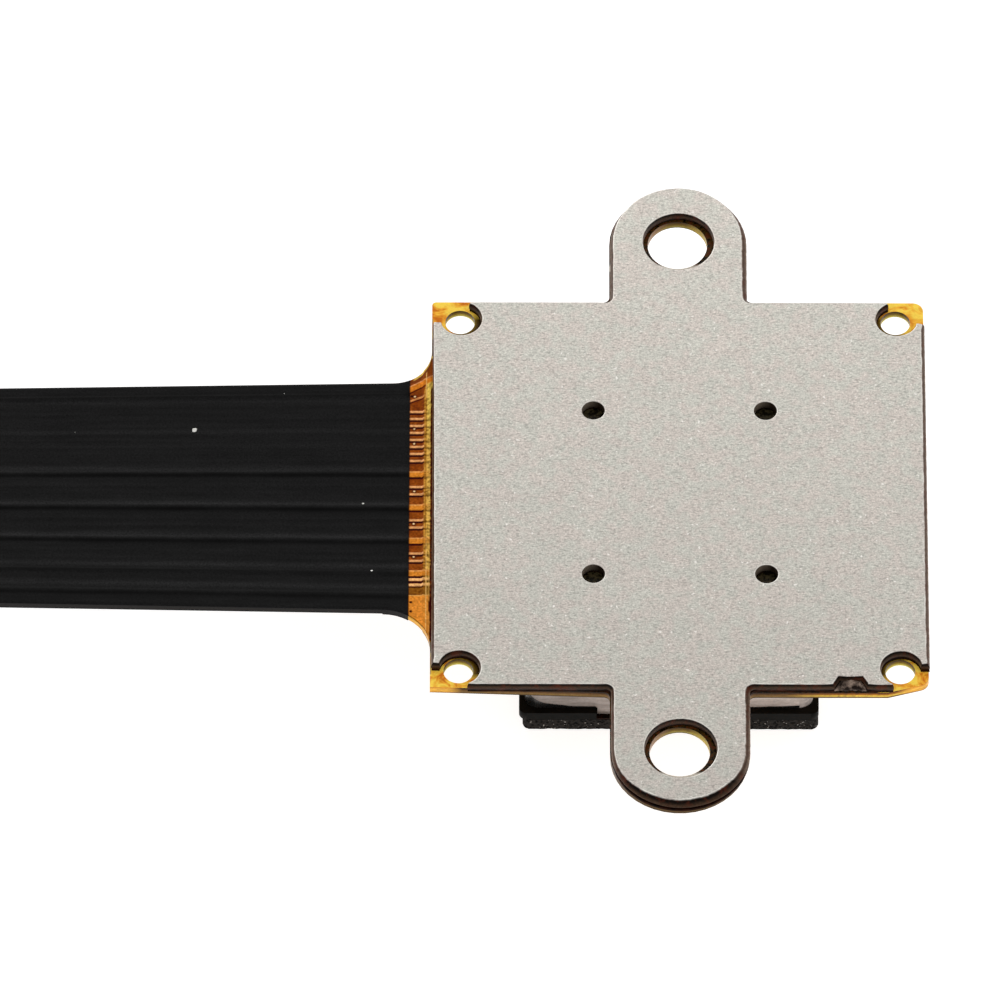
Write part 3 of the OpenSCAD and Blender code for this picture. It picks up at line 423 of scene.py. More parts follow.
def amber_wall(g, from_x, from_y, specks, grit):
    """Cut walls: layers of laminate, each with its own colours by the place on the outline, and painted shade
    under the steel at the top of most.
    """
    height = g.span(g.z, z_flex_top - FLEX_THICK, z_flex_top)
    # Most of these ramps turn near black at the top of the wall: painted shade under the steel
    dark = g.ramp(height, (0.0, (40, 26, 8)), (0.25, (120, 92, 46)), (0.5, (104, 72, 32)),
                  (0.8, (56, 34, 12)), (1.0, (14, 4, 0)))
    gold = g.ramp(height, (0.0, (44, 28, 2)), (0.18, (130, 98, 20)), (0.38, (252, 212, 86)),
                  (0.54, (190, 128, 30)), (0.8, (120, 66, 8)), (1.0, (34, 12, 0)))
    amber = g.ramp(height, (0.0, (120, 84, 30)), (0.25, (222, 160, 60)), (0.6, (232, 176, 70)),
                   (1.0, (206, 130, 40)))
    wall = g.mix(g.times(g.span(g.x, 3.2, 4.8), g.span(specks, 0.25, 0.6, 0.4, 1.0)), dark, gold)
    wall = g.mix(g.span(from_x, 6.1, 6.5), wall, amber)
    # Ears: painted shade outside, where the wall's colours are darkened, and tan, olive and yellow round the
    # hole
    ear = g.ramp(height, (0.0, (40, 22, 2)), (0.2, (160, 146, 72)), (0.45, (124, 100, 22)),
                 (0.75, (92, 66, 12)), (1.0, (54, 34, 6)))
    ear = g.mix(g.span(g.x, 0.5, 1.0), ear, g.tint((196, 168, 60), height, 1.1, 0.7))
    ear = g.mix(g.span(g.x, 0.0, -0.5), ear, g.tint((166, 128, 92), height, 1.0, 0.7))
    in_hole = g.below(g.reach(from_x, g.minus(from_y, EAR_HOLE)), 1.0, 1.05)
    ear = g.mix(in_hole, g.mix(1.0, wall, 0.55, "MULTIPLY"), ear)
    wall = g.mix(g.span(from_y, 8.0, 8.2), wall, ear)
    # Inside the corner holes the light that comes through makes the walls glow
    glow = g.ramp(height, (0.0, (236, 228, 130)), (0.2, (190, 170, 66)), (0.5, (134, 108, 18)),
                  (0.8, (80, 56, 2)), (1.0, (54, 32, 0)))
    beside_x, beside_y = (g.below(g.away(value, CORNER_HOLE), CORNER_R + 0.02, CORNER_R + 0.08)
                          for value in (from_x, from_y))
    wall = g.mix(g.times(beside_x, beside_y), wall, glow)
    wall = g.tint(wall, g.noise(1.0, 3, 0.65, (5.0, 5.0, 26.0)), 0.2, 1.8)
    # Between its films the tail's cut edge is dark too
    tail = g.times(g.span(g.x, film_low[0] - 0.01, film_low[0] + 0.01),
                   g.below(g.x, film_high[0] - 0.01, film_high[0] + 0.01))
    return g.mix(tail, wall, g.tint((22, 19, 17), grit, 0.4, 1.6))


def make_amber():
    g = Graph("amber_laminate")
    specks = g.noise(8.0, 2, 0.6)
    grit = g.noise(15.0, 2, 0.7)
    from_x, from_y = g.away(g.x, HEAD_X), g.size(g.y)
    face = amber_face(g, from_x, from_y, specks, grit)
    wall = amber_wall(g, from_x, from_y, specks, grit)
    # Along the tail's side of the panel the edge is grey where it lies beside the steel
    beside = g.times(g.below(g.x, PANEL_X - 0.005, PANEL_X + 0.05), g.below(from_y, 6.28, 6.34))
    beside = g.times(beside, g.span(g.x, PANEL_X - 0.05, PANEL_X - 0.01))
    up = g.span(g.size(g.normal("Z")), 0.35, 0.9)
    base = g.mix(beside, g.mix(up, wall, face), (128, 112, 92))
    return g.finish(base, g.vary(specks, 0.22, 0.4), 0.08, g.bump(specks, 0.006, 0.4), Coat_Weight=0.03,
                    Coat_Roughness=0.2)


def make_cover_film():
    """Cover film over copper. Its colours are the piece's vertex paint, painted highlights and shade
    included, with fine variation on top.
    """
    g = Graph("amber_over_copper")
    fine = g.noise(14.0, 3, 0.6)
    return g.finish(g.tint(g.painted(), fine, 0.6, 1.4), g.vary(fine, 0.28, 0.40), 0.045,
                    g.bump(fine, 0.004, 0.5))


def make_plain(name, dark, light, rough, spec=0.5, metallic=0.0, scale=4.0, stretch=None, grain=14.0,
               bump=0.004, coat=0.0, **more):
    """Two tones in soft patches, a fine grain over them and a roughness that follows it."""
    g = Graph(name)
    patches = g.noise(scale, 3, 0.55, stretch)
    fine = g.noise(grain, 2, 0.6)
    base = g.mix(g.span(patches, 0.35, 0.65), dark, light)
    return g.finish(
        g.tint(base, fine, 0.85, 1.15), g.vary(fine, rough - 0.07, rough + 0.07), spec,
        g.bump(fine, bump, 0.4), Metallic=metallic, Coat_Weight=coat, Coat_Roughness=0.1, **more)


def make_can():
    """Thin nickel-plated sheet, with a painted reflection on its near wall: lighter at its right end, darker
    towards the glue's end at the left.
    """
    g = Graph("can_sheet")
    fine = g.noise(14.0, 2, 0.7)
    base = g.mix(g.span(g.noise(1.0, 3, 0.55, (1.2, 1.2, 9.0)), 0.35, 0.65), (156, 146, 140), (184, 174, 168))
    base = g.tint(base, fine, 0.7, 1.3)
    near = g.below(g.normal("Y"), -0.9, -0.6)
    # Painted reflection: the near wall fades from light at +X to dark at -X
    base = g.tint(base, g.times(near, g.span(g.x, 3.0, -3.0)), 1.14, 0.68)
    return g.finish(base, g.vary(fine, 0.43, 0.57), 0.25, g.bump(fine, 0.006, 0.4), Metallic=0.35)


def make_glass(name, tint, coating, rough, alpha):
    """Clear glass with a coating whose colour shows where the light glances off."""
    g = Graph(name)
    glance = g.add("LayerWeight", {"Blend": 0.35}, "Facing")
    smear = g.noise(1.4)
    base = g.mix(g.span(smear, 0.4, 0.6), tint, coating)
    base = g.mix(glance, base, coating)
    return g.finish(base, rough, 0.6, g.bump(smear, 0.002, 0.2), Transmission_Weight=alpha, IOR=1.5,
                    Coat_Weight=0.6, Coat_Roughness=0.03)


def make_foam():
    g = Graph("black_foam")
    pores = g.add("TexVoronoi", {"Vector": g.mm, "Scale": 11.0}, "Distance")
    fine = g.noise(18.0, 2, 0.7)
    # Painted glints: small pale specks on the foam's cells
    cell_glints = g.span(g.noise(14.0, 1), 0.69, 0.74)
    base = g.mix(g.span(pores, 0.2, 0.6), (4, 4, 4), (40, 38, 36))
    base = g.tint(base, fine, 0.2, 1.8)
    base = g.mix(g.times(cell_glints, 0.7), base, (170, 166, 160))
    return g.finish(base, 0.85, 0.06, g.bump(g.plus(pores, fine), 0.03, 0.6))


def make_pixels():
    g = Graph("pixel_field")
    checks = g.add("TexChecker", {"Vector": g.mm, "Scale": 24.0}, "Color")
    sheen = g.ramp(g.span(g.plus(g.x, g.times(g.y, 0.6)), -3.5, 3.5), (0.0, (44, 52, 84)),
                   (0.45, (78, 44, 96)), (1.0, (52, 84, 84)))
    return g.finish(g.mix(0.25, sheen, checks, "MULTIPLY"), 0.16, 0.8, g.bump(g.noise(20, 1), 0.002, 0.3),
                    Coat_Weight=0.4, Coat_Roughness=0.08)


def make_glass_fibre():
    g = Graph("glass_fibre_board")
    weave = g.times(*(g.math("SINE", g.times(along, 18.0)) for along in (g.x, g.y)))
    fine = g.noise(9.0, 3, 0.6)
    base = g.mix(g.span(weave, -1, 1), (92, 96, 70), (122, 124, 92))
    return g.finish(g.tint(base, fine, 0.8, 1.2), 0.5, 0.4, g.bump(g.plus(weave, fine), 0.008, 0.5))


def dress(material, *names):
    """Gives these nodes the material, and returns it for the pieces that share it."""
    for name in names:
        slots = nodes[name].data.materials
        for i in range(len(slots)):
            slots[i] = material
    return material


steel = dress(make_steel(), "back_stiffener")
bond = dress(make_plain("bonding_film", (10, 3, 0), (44, 18, 6), 0.55, 0.05),
             "stiffener_bond", "gasket_bond", "land_bond")
glue = dress(make_plain("black_glue", (10, 10, 10), (22, 21, 20), 0.3, 0.35, bump=0.01, coat=0.3),
             "can_glue", "holder_bond")
foam = dress(make_foam(), "front_gasket")
ridged_film = make_film("black_film_back", True)
cover_film = make_cover_film()
pale_dust = make_plain("pale_dust", (196, 196, 190), (244, 244, 240), 0.7, 0.2)

dress(make_amber(), "flex_circuit")
dress(make_plain("plated_copper", (196, 118, 48), (226, 152, 78), 0.3, 0.5, 0.35, 3.0, coat=0.5),
      "bare_conductors")
dress(make_film("black_film", False), "shield_film_back", "shield_film_front")
dress(make_glass_fibre(), "land_stiffener")
dress(make_plain("liquid_crystal_polymer", (28, 27, 26), (38, 37, 35), 0.48, 0.4, scale=2.0,
                 stretch=(5.0, 0.8, 5.0)), "plug_housing")
dress(make_plain("gold_plating", (214, 164, 70), (240, 200, 110), 0.24, 0.5, 0.95, 5.0, coat=0.2),
      "plug_contacts", "bond_wires")
dress(make_plain("matt_tin", (168, 168, 170), (206, 206, 208), 0.38, 0.5, 0.9, 5.0, grain=18.0, bump=0.01),
      "plug_anchors", "can_solder", "capacitor_ends")
dress(make_plain("moulded_holder", (9, 9, 7), (16, 15, 13), 0.52, 0.05, scale=3.0), "lens_holder")
dress(make_can(), "shield_can")
dress(make_plain("pale_glue", (196, 188, 160), (226, 220, 200), 0.25, 0.5, coat=0.5, bump=0.01,
                 Subsurface_Weight=0.2, Subsurface_Scale=0.0003), "filter_glue", "barrel_glue", "die_bond")
dress(make_glass("coated_filter", (120, 190, 200), (190, 90, 120), 0.04, 0.85), "ir_filter")
dress(make_glass("coated_lens", (170, 210, 190), (90, 70, 150), 0.02, 0.9),
      *[f"lens_element_{i}" for i in range(1, 5)])
dress(make_plain("barrel_plastic", (10, 10, 10), (19, 19, 19), 0.42, 0.25, scale=6.0),
      "lens_barrel", "baffle_front", "baffle_rear", "lens_spacer", "lens_retainer")
dress(make_plain("polished_silicon", (62, 66, 78), (84, 88, 98), 0.15, 0.7, 0.3, 8.0), "image_sensor")
dress(make_pixels(), "pixel_array")
dress(make_plain("sintered_ceramic", (158, 124, 92), (188, 154, 120), 0.45, 0.4, scale=6.0, grain=22.0),
      "capacitor_bodies")
dress(make_plain("moulded_package", (30, 30, 31), (46, 46, 47), 0.6, 0.3, scale=5.0, grain=24.0, bump=0.008),
      "memory_chip", "voltage_regulator")


# ---- Floor ----

def make_floor():
    g = Graph("pale_floor")
    material = g.finish(g.mix(g.noise(0.02), 0.48, 0.52), 0.7, 0.1, Emission_Color=1, Emission_Strength=0.8)
    half, drop = 0.9, 0.00002
    corners = [(-half, -half, 0), (half, -half, 0), (half, half, 0), (-half, half, 0)]
    mesh = bpy.data.meshes.new("floor")
    mesh.from_pydata(corners, [], [(0, 1, 2, 3)])
    mesh.materials.append(material)
    floor = bpy.data.objects.new("floor", mesh)
    floor.location.z = -drop
    scene.collection.objects.link(floor)


make_camera()
make_light()
make_floor()


# ---- Steel plate with the sloped, uneven edges of a punched and etched sheet ----

PLATE_SPACING = 0.06
# Down the cut wall: height in parts of the thickness, and distance in from the outline and in from a hole
WALL_PROFILE = [(1.0, 0.112, 0.03), (0.965, 0.100, 0.024), (0.86, 0.074, 0.016), (0.68, 0.034, 0.008),
                (0.5, 0.006, 0.002), (0.40, 0.0, 0.0), (0.24, 0.022, 0.004), (0.08, 0.05, 0.012),
                (0.0, 0.062, 0.016)]
BURR_WIDTH = 0.03
# What the paint says of the rings from the face outwards: 0 on the face, 1 from the fourth ring down the wall
OVER_EDGE = (0, 0.3, 0.6, 1)
# How many points ahead an outline is searched for a crossing with itself, and how many times over
TANGLE_REACH, TANGLE_PASSES = 12, 6


def face_loops(node, level):
    """Outlines, in order and in millimetres, of a node's flat faces that look up at that height."""
    pts = np.round(points_mm(node), 4)
    keys, inverse = np.unique(pts, axis=0, return_inverse=True)
    inverse = inverse.ravel()
    edges = set()
    for poly in nodes[node].data.polygons:
        ids = [inverse[v] for v in poly.vertices]
        if poly.normal.z > 0.99 and all(abs(keys[i][2] - level) < 2e-3 for i in ids):
            edges.update(zip(ids, ids[1:] + ids[:1]))
    following = {a: b for a, b in edges if (b, a) not in edges}
    loops = []
    while following:
        start, at = following.popitem()
        loop = [start]
        while at != start:
            loop.append(at)
            at = following.pop(at)
        loops.append(keys[loop][:, :2])
    return loops


def finer(loop, spacing, smooth_turn=13.0):
    """The outline with more points: arcs of short straight bits come out round, corners stay."""
    ahead = np.roll(loop, -1, 0) - loop
    length = np.hypot(*ahead.T)
    way = ahead / length[:, None]
    back = np.roll(way, 1, 0)
    turn = np.degrees(np.arccos(np.clip((way * back).sum(1), -1, 1)))
    back_length = np.roll(length, 1)
    even = np.maximum(length, back_length) < 2 * np.minimum(length, back_length)
    soft = (turn < smooth_turn) & even
    mean = way + back
    mean /= np.maximum(np.hypot(*mean.T), 1e-9)[:, None]
    out = []
    for i in range(len(loop)):
        k = (i + 1) % len(loop)
        from_way = (mean[i] if soft[i] else way[i]) * length[i]
        to_way = (mean[k] if soft[k] else way[i]) * length[i]
        count = max(1, int(np.ceil(length[i] / spacing)))
        for t in np.arange(count) / count:
            out.append((2 * t ** 3 - 3 * t ** 2 + 1) * loop[i] + (t ** 3 - 2 * t ** 2 + t) * from_way
                       + (3 * t ** 2 - 2 * t ** 3) * loop[k] + (t ** 3 - t ** 2) * to_way)
    return np.array(out)


def left_of(step):
    """Unit vectors that point to the left of these steps."""
    return np.stack([-step[:, 1], step[:, 0]], 1) / np.hypot(*step.T)[:, None]


def loop_sides(loop):
    """Unit vectors to the left of a closed outline, at its points."""
    return left_of(np.roll(loop, -1, 0) - np.roll(loop, 1, 0))


def inset(loop, by):
    """The outline moved into the material, which lies on its left, by one distance for each point."""
    side = loop_sides(loop)
    lean = np.clip((side * left_of(np.roll(loop, -1, 0) - loop)).sum(1), 0.7, 1)
    moved = loop + side * (by / lean)[:, None]
    gap = np.sqrt(((moved[:, None] - loop[None]) ** 2).sum(-1)).min(1)
    good = gap > by * 0.93 - 1e-6
    if good.all() or not good.any():
        return moved
    # Where the outline folds over itself at a corner, its points are spread between the good ones
    ids = np.arange(len(loop))
    keep = np.concatenate([ids[good] - len(loop), ids[good], ids[good] + len(loop)])
    place = np.concatenate([moved[good]] * 3)
    for axis in (0, 1):
        moved[:, axis] = np.interp(ids, keep, place[:, axis])
    return untangle(moved)


def cross(a, b):
    return a[:, 0] * b[:, 1] - a[:, 1] * b[:, 0]


def untangle(ring):
    """Takes out the small loops that are left where an outline turns sharply."""
    for _ in range(TANGLE_PASSES):
        crossed = False
        for off in range(2, TANGLE_REACH + 1):
            a, b = ring, np.roll(ring, -1, 0)
            c, d = np.roll(ring, -off, 0), np.roll(ring, -off - 1, 0)
            apart = cross(b - a, c - a) * cross(b - a, d - a) < 0
            over = apart & (cross(d - c, a - c) * cross(d - c, b - c) < 0)
            for i in np.flatnonzero(over):
                between = np.arange(1, off + 1)
                end = ring[(i + off + 1) % len(ring)]
                ring[(i + between) % len(ring)] = ring[i] + (end - ring[i]) * (between / (off + 1))[:, None]
                crossed = True
        if not crossed:
            break
    return ring


def inside(places, loop):
    """Which places lie inside a closed outline."""
    a, b = loop, np.roll(loop, -1, 0)
    x, y = places[:, :1], places[:, 1:]
    spans = (a[:, 1] > y) != (b[:, 1] > y)
    rise = np.where(b[:, 1] == a[:, 1], 1, b[:, 1] - a[:, 1])
    return (spans & (x < a[:, 0] + (b[:, 0] - a[:, 0]) * (y - a[:, 1]) / rise)).sum(1) % 2 == 1


def fill(loops):
    """Triangles inside the outlines, as indices into the outlines' points one after another."""
    points = [Vector(p) for loop in loops for p in loop]
    edges, start = [], 0
    for loop in loops:
        count = len(loop)
        edges += [(start + i, start + (i + 1) % count) for i in range(count)]
        start += count
    places, _, faces, origin, _, _ = delaunay_2d_cdt(points, edges, [], 1, 1e-7)
    middles = np.array([np.mean([places[v] for v in face], axis=0) for face in faces])
    hollow = np.zeros(len(faces), bool)
    for loop in sorted(loops, key=len)[:-1]:
        hollow |= inside(middles, loop)
    return [tuple(origin[v][0] for v in face) for face, gone in zip(faces, hollow) if not gone]


def edge_slope(loop):
    """How strongly the cut wall slopes round the plate: least on the far side and in the corners' arcs."""
    out_x, out_y = -loop_sides(loop).T
    x, y = (loop - plate_mid[:2]).T
    on_ear = np.abs(x) < 3
    tail_side = np.where(on_ear, 0.8, np.interp(y, [-6, 6], [0.9, 0.3]))
    across = np.where(out_x > 0, np.where(on_ear, 1.35, 1.0), tail_side)
    along = np.where(out_y > 0, 0.2, np.interp(y, [-10.4, -8.6], [1.6, 0.32]))
    slope = across * out_x ** 2 + along * out_y ** 2
    from_x, from_y = np.abs(x) - CORNER_HOLE, np.abs(y) - CORNER_HOLE
    corner = np.maximum(np.abs(from_x), np.abs(from_y)) < 0.62
    slope = np.where(corner & (np.hypot(from_x, from_y) < 0.6), 0.42, slope)
    # Each point takes the mean of its neighbours' slopes
    around, window = 6, 9
    ring = np.concatenate([slope[-around:], slope, slope[:around]])
    return np.convolve(ring, np.ones(window) / window, "same")[around:-around]


def wall_rings(loop, number, is_hole):
    """Rings of points down a cut wall, from the face with its burr to the underside, with their heights."""
    low, high = steel_low[2], steel_high[2]
    wander = unit_noise(loop[:, 0] + 3 * number, loop[:, 1], 0.35, 21)
    fine = unit_noise(loop[:, 0], loop[:, 1], 0.09, 22)
    slope = 1.0 if is_hole else edge_slope(loop)
    rings = []
    for i, (height, *distances) in enumerate(WALL_PROFILE):
        rough = 0.010 if i < 2 else 0.022
        by = distances[is_hole]
        by = slope * (by * (0.9 + 0.15 * wander) + rough * fine * (0.3 + by / WALL_PROFILE[0][1]))
        if i == 0:
            rings.append((inset(loop, by + BURR_WIDTH), high))
        rings.append((inset(loop, by), low + (high - low) * height))
    return rings


def stub_mound():
    """A rough lump of torn metal between the notch's walls: its points, faces and paint."""
    rows, cols = 26, 44
    margin = 0.05
    pts = points_mm("back_stiffener")
    stub = pts[(pts[:, 2] > steel_low[2] + margin) & (pts[:, 2] < steel_high[2] - margin)]
    (x0, y0), (x1, y1) = stub[:, :2].min(0), stub[:, :2].max(0)
    z0, z1 = steel_low[2], stub[:, 2].max()
    u, v = np.meshgrid(np.linspace(0, 1, cols), np.linspace(0, 1, rows))
    x = (x0 + x1) / 2 + (u - 0.5) * (x1 - x0) * (1 - 0.30 * v)
    y = y0 + 0.012 + v * (y1 - y0 + 0.03) + 0.02 * value_noise(x, y0, 0.12, 31) * (1 - v)
    y = np.maximum(y, y0 + 0.002)
    mound = 1 - (2 * np.abs(u - 0.5)) ** 3.2 * 0.55
    z = z0 + (z1 - z0) * mound * (0.72 + 0.22 * v)
    z += 0.03 * value_noise(x, y, 0.13, 32) + 0.02 * value_noise(x, y, 0.05, 33)
    z = np.clip(z, z0 + 0.02, z1)
    verts, faces = slab(x, y, z, z0)
    depth = 1 - np.tile(np.clip((z.ravel() - z0) / (z1 - z0), 0, 1), 2)
    return verts, faces, [(1, d, 1) for d in depth]


def make_plate(loops):
    low, high = steel_low[2], steel_high[2]
    outline = max(loops, key=len)
    walls = [wall_rings(loop, k, loop is not outline) for k, loop in enumerate(loops)]
    verts, faces, colours, first = [], [], [], []
    for rings in walls:
        n = len(rings[0][0])
        first.append(len(verts))
        for i, (ring, z) in enumerate(rings):
            start = len(verts)
            verts += [(*p, z) for p in ring]
            colours += [(OVER_EDGE[min(i, 3)], 1 - (z - low) / (high - low), 0)] * n
            if i:
                above = start - n
                faces += [(above + j, start + j, start + (j + 1) % n, above + (j + 1) % n) for j in range(n)]
    n_wall = len(faces)
    for level, flip in ((0, False), (len(WALL_PROFILE), True)):
        ids = []
        for start, rings in zip(first, walls):
            n = len(rings[0][0])
            ids += range(start + level * n, start + (level + 1) * n)
        for face in fill([rings[level][0] for rings in walls]):
            face = tuple(ids[v] for v in face)
            faces.append(face[::-1] if flip else face)
    n_plate = len(faces)
    stub_verts, stub_faces, stub_colours = stub_mound()
    add_part(verts, faces, stub_verts, stub_faces)
    piece = mesh_piece("steel_plate", verts, faces, steel)
    for i, poly in enumerate(piece.data.polygons):
        poly.use_smooth = i < n_wall or i >= n_plate
    paint(piece, np.array(colours + stub_colours))
    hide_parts("back_stiffener")


def make_plate_edge_bead(loop):
    """A thin dark bead along the plate's lower edge, in the bonding film's material."""
    swell = 0.02 * unit_noise(loop[:, 0], loop[:, 1], 0.4, 23)
    hidden = 0.10
    low, high = bond_low[2] + 0.0005, steel_low[2] + 0.006
    rings = [(hidden, low), (0.002 + swell, low), (0.001 + swell, bond_low[2] + 0.026), (0.012 + swell, high),
             (hidden, high)]
    verts = [(*p, z) for by, z in rings for p in inset(loop, by)]
    n = len(loop)
    faces = []
    for i in range(len(rings)):
        faces += band(i * n, (i + 1) % len(rings) * n, n)
    mesh_piece("plate_edge_bead", verts, faces, bond, edge_angle=50)


plate_loops = [finer(loop, PLATE_SPACING) for loop in face_loops("back_stiffener", steel_high[2])]
make_plate(plate_loops)
make_plate_edge_bead(max(plate_loops, key=len))


# ---- Outline of the tail, read from the solids ----

def edge_lines(node, x_min, x_max):
    """Far and near edge of a node between two places along X, as functions of x."""
    pts = points_mm(node)
    pts = pts[(pts[:, 0] > x_min - 1e-3) & (pts[:, 0] < x_max + 1e-3)]
    sides = []
    for sign in (1, -1):
        part = pts[pts[:, 1] * sign > 1.5]
        xs = np.unique(np.round(part[:, 0], 3))
        ys = [sign * (part[np.abs(part[:, 0] - x) < 2e-3][:, 1] * sign).max() for x in xs]
        sides.append((xs, np.array(ys)))
    return [lambda x, side=side: np.interp(x, *side) for side in sides]


def top_line(node):
    """Height of a node's upper face along X, as a function of x."""
    pts = points_mm(node)
    xs = np.unique(np.round(pts[:, 0], 2))
    zs = [pts[np.abs(pts[:, 0] - x) < 0.02][:, 2].max() for x in xs]
    keep = [i for i in range(len(xs)) if i in (0, len(xs) - 1) or xs[i + 1] - xs[i - 1] > 0.02]
    xs, zs = xs[keep], np.array(zs)[keep]
    return lambda x: np.interp(x, xs, zs)


def ridge(distance, height, half, power):
    """Height of a rounded ridge at a distance from its middle. A larger power gives a flatter top."""
    return height * np.exp(-(distance / half) ** power)


# ---- Shielding film on the back, with the conductors showing through as ridges ----

ROOT_WIDTH = 8.05
GROUND_Y = [3.56, 0.77, -0.41, -1.59, -2.77, -3.52]
SIGNAL_Y = [1.225 + 0.25 * i for i in range(9)]
PAIR_Y = [ground - 0.455 - 0.26 * k for ground in (0.77, -0.41, -1.59) for k in (0, 1)]
# Lines of light and of shade along the conductors: place, strength
FILM_LIGHT = [(3.42, 0.4), (2.32, 0.45), (1.82, 0.25), (0.94, 0.9), (-0.30, 1.0), (-1.465, 1.0), (-2.52, 1.0),
              (-3.235, 1.0)]
FILM_SHADE = [(3.61, 0.7), (0.72, 0.8), (-0.515, 0.9), (-1.68, 0.75), (-2.73, 0.55), (-3.6, 0.6)]
# Specks of pale dust: x, y and half width of each
DUST = [(-13.47, 2.31, 0.075), (-8.67, -0.30, 0.032), (-8.41, -2.68, 0.036), (-10.94, 3.62, 0.012),
        (-16.86, 2.22, 0.011), (-13.4, 0.72, 0.010)]
DUST_SIDES = 11
# Outline of a speck, from its foot to its flat top: part of its half width, part of its height
DUST_PROFILE = [(1.0, 0.0), (0.92, 0.35), (0.6, 0.8)]


def film_colours(y, x):
    shade = 0.0066 + 0.0010 * value_noise(x * 0.12, y, 0.11, 13) + 0.0006 * value_noise(x, y, 0.25, 14)
    for centre, strength in FILM_LIGHT:
        shade += ridge(y - centre, 0.0078 * strength, 0.10, 2)
    for centre, strength in FILM_SHADE:
        shade -= ridge(y - centre, 0.0060 * strength, 0.09, 2)
    shade = np.maximum(shade, 0.0004)
    return np.stack([shade, shade, shade * 1.03], -1).reshape(-1, 3)


def film_height(y, x):
    """How far the film stands out over the conductors, at places across the tail's root width."""
    height = 0
    for centre in GROUND_Y:
        height = height + ridge(y - centre, 0.022, 0.085, 4)
    for centre in SIGNAL_Y + PAIR_Y:
        height = height + ridge(y - centre, 0.005, 0.06, 2)
    return height + (0.004 * value_noise(x, y * 3.0, 2.2, 11) + 0.0015 * value_noise(x, y, 0.25, 12))


def make_film_skin(top):
    start, end = film_high[0], film_low[0]
    far, near = edge_lines("shield_film_back", end, start)
    # The first millimetre has the curved sides, so its rows are closer together
    curved = start - 1.0
    xs = np.concatenate([np.linspace(start, curved, 16), np.linspace(curved, end, 160)[1:]])
    x, share = np.meshgrid(xs, np.linspace(0, 1, 260), indexing="ij")
    y_far, y_near = far(x), near(x)
    y = y_near + (y_far - y_near) * share
    y_root = y / np.clip((y_far - y_near) / ROOT_WIDTH, 0.9, 1.0)
    from_edge = np.minimum(y_far - y, y - y_near)
    from_end = np.minimum(start - x, x - end)
    rim_width, rim_drop = 0.08, 0.03
    rim = 1 - (1 - np.clip(np.minimum(from_edge, from_end) / rim_width, 0, 1)) ** 2
    z = top(x) - rim_drop * (1 - rim) + film_height(y_root, x) * rim
    verts, faces = slab(x, y, z, top(x) - FILM_THICK)
    piece = mesh_piece("shield_film_skin", verts, faces, ridged_film, edge_angle=50)
    colours = film_colours(y_root, x)
    paint(piece, np.concatenate([colours, colours]))
    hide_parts("shield_film_back")


def make_dust(top):
    verts, faces = [], []
    angle = np.linspace(0, 2 * math.pi, DUST_SIDES, endpoint=False)
    for k, (x, y, size) in enumerate(DUST):
        start = len(verts)
        wobble = 1 + 0.3 * value_noise(angle * 1.3, k, 0.7, 71)
        base = top(x) + 0.003
        for reach, height in DUST_PROFILE:
            verts += [(x + size * reach * w * math.cos(a), y + 0.8 * size * reach * w * math.sin(a),
                       base + size * 0.6 * height) for a, w in zip(angle, wobble)]
        middle, upper = start + DUST_SIDES, start + 2 * DUST_SIDES
        faces += band(start, middle, DUST_SIDES) + band(middle, upper, DUST_SIDES)
        faces.append(tuple(range(upper, upper + DUST_SIDES)))
        faces.append(tuple(range(start, middle))[::-1])
    mesh_piece("dust_specks", verts, faces, pale_dust, edge_angle=80)


film_top = top_line("shield_film_back")
make_film_skin(film_top)
make_dust(film_top)


# ---- Bare strip at the tail's root: cover film over the conductors ----

THIN_Y = [1.245 + 0.25 * i for i in range(8)] + [0.315, 0.055, -0.865, -1.125, -2.045, -2.305]
BRIGHT_Y = [-2.96, -3.15]
WIDE_Y = [0.77, -0.41, -1.59, -2.74]
# Height, half width and flatness of the ridges over the conductors
THIN_RIDGE, WIDE_RIDGE = (0.016, 0.045, 4), (0.020, 0.115, 6)
DOTS = [(-7.225, 3.55), (-7.235, 2.39), (-7.235, 1.865), (-7.225, 0.167), (-7.235, -0.985), (-7.23, -2.156)]
PITS = [(-7.30, -3.77), (-7.30, -4.09), (-7.31, 3.56)]
# Along X: the step up to the head, the yellow band on it, its fine line, and the dark gap before the steel
X_STEP = PANEL_X - 0.22
X_BAND, X_LINE, X_GAP = X_STEP + 0.015, X_STEP + 0.077, PANEL_X - 0.025
STEP_HEIGHT = 0.04
BAND_END_Y = 3.6        # the yellow band ends in a curve here, at the far side
FILL_Y = -3.51          # the filled copper area begins here, towards the near side


def smooth(value, low, high):
    t = np.clip((value - low) / (high - low), 0, 1)
    return t * t * (3 - 2 * t)


def strip(distance, half, edge=0.014):
    """1 within half of the middle, falling to 0 over the edge."""
    return 1 - smooth(np.abs(distance), half - edge / 2, half + edge / 2)


def lay(under, *layers):
    """Lays colours over the ones before them, each with its share at every place."""
    for colour, share in layers:
        under = under + (np.array(srgb(*colour)[:3]) - under) * share[..., None]
    return under


def stripes(under, distance, *parts):
    """Stripes along a conductor: offset from its middle, half width, colour and share of each."""
    return lay(under, *[(colour, strip(distance - offset, half) * share)
                        for offset, half, colour, share in parts])


def spots(under, x, y, places, inner, outer, colour, share=1.0):
    fades = [smooth(np.hypot(x - at_x, y - at_y), inner, outer) for at_x, at_y in places]
    return lay(under, *[(colour, (1 - fade) * share) for fade in fades])


def fan_lines(x):
    """Y of the thin and the wide conductor that fan out towards the far side."""
    past = x - film_high[0]
    return 3.37 + 0.45 * past, 3.80 + 0.60 * past


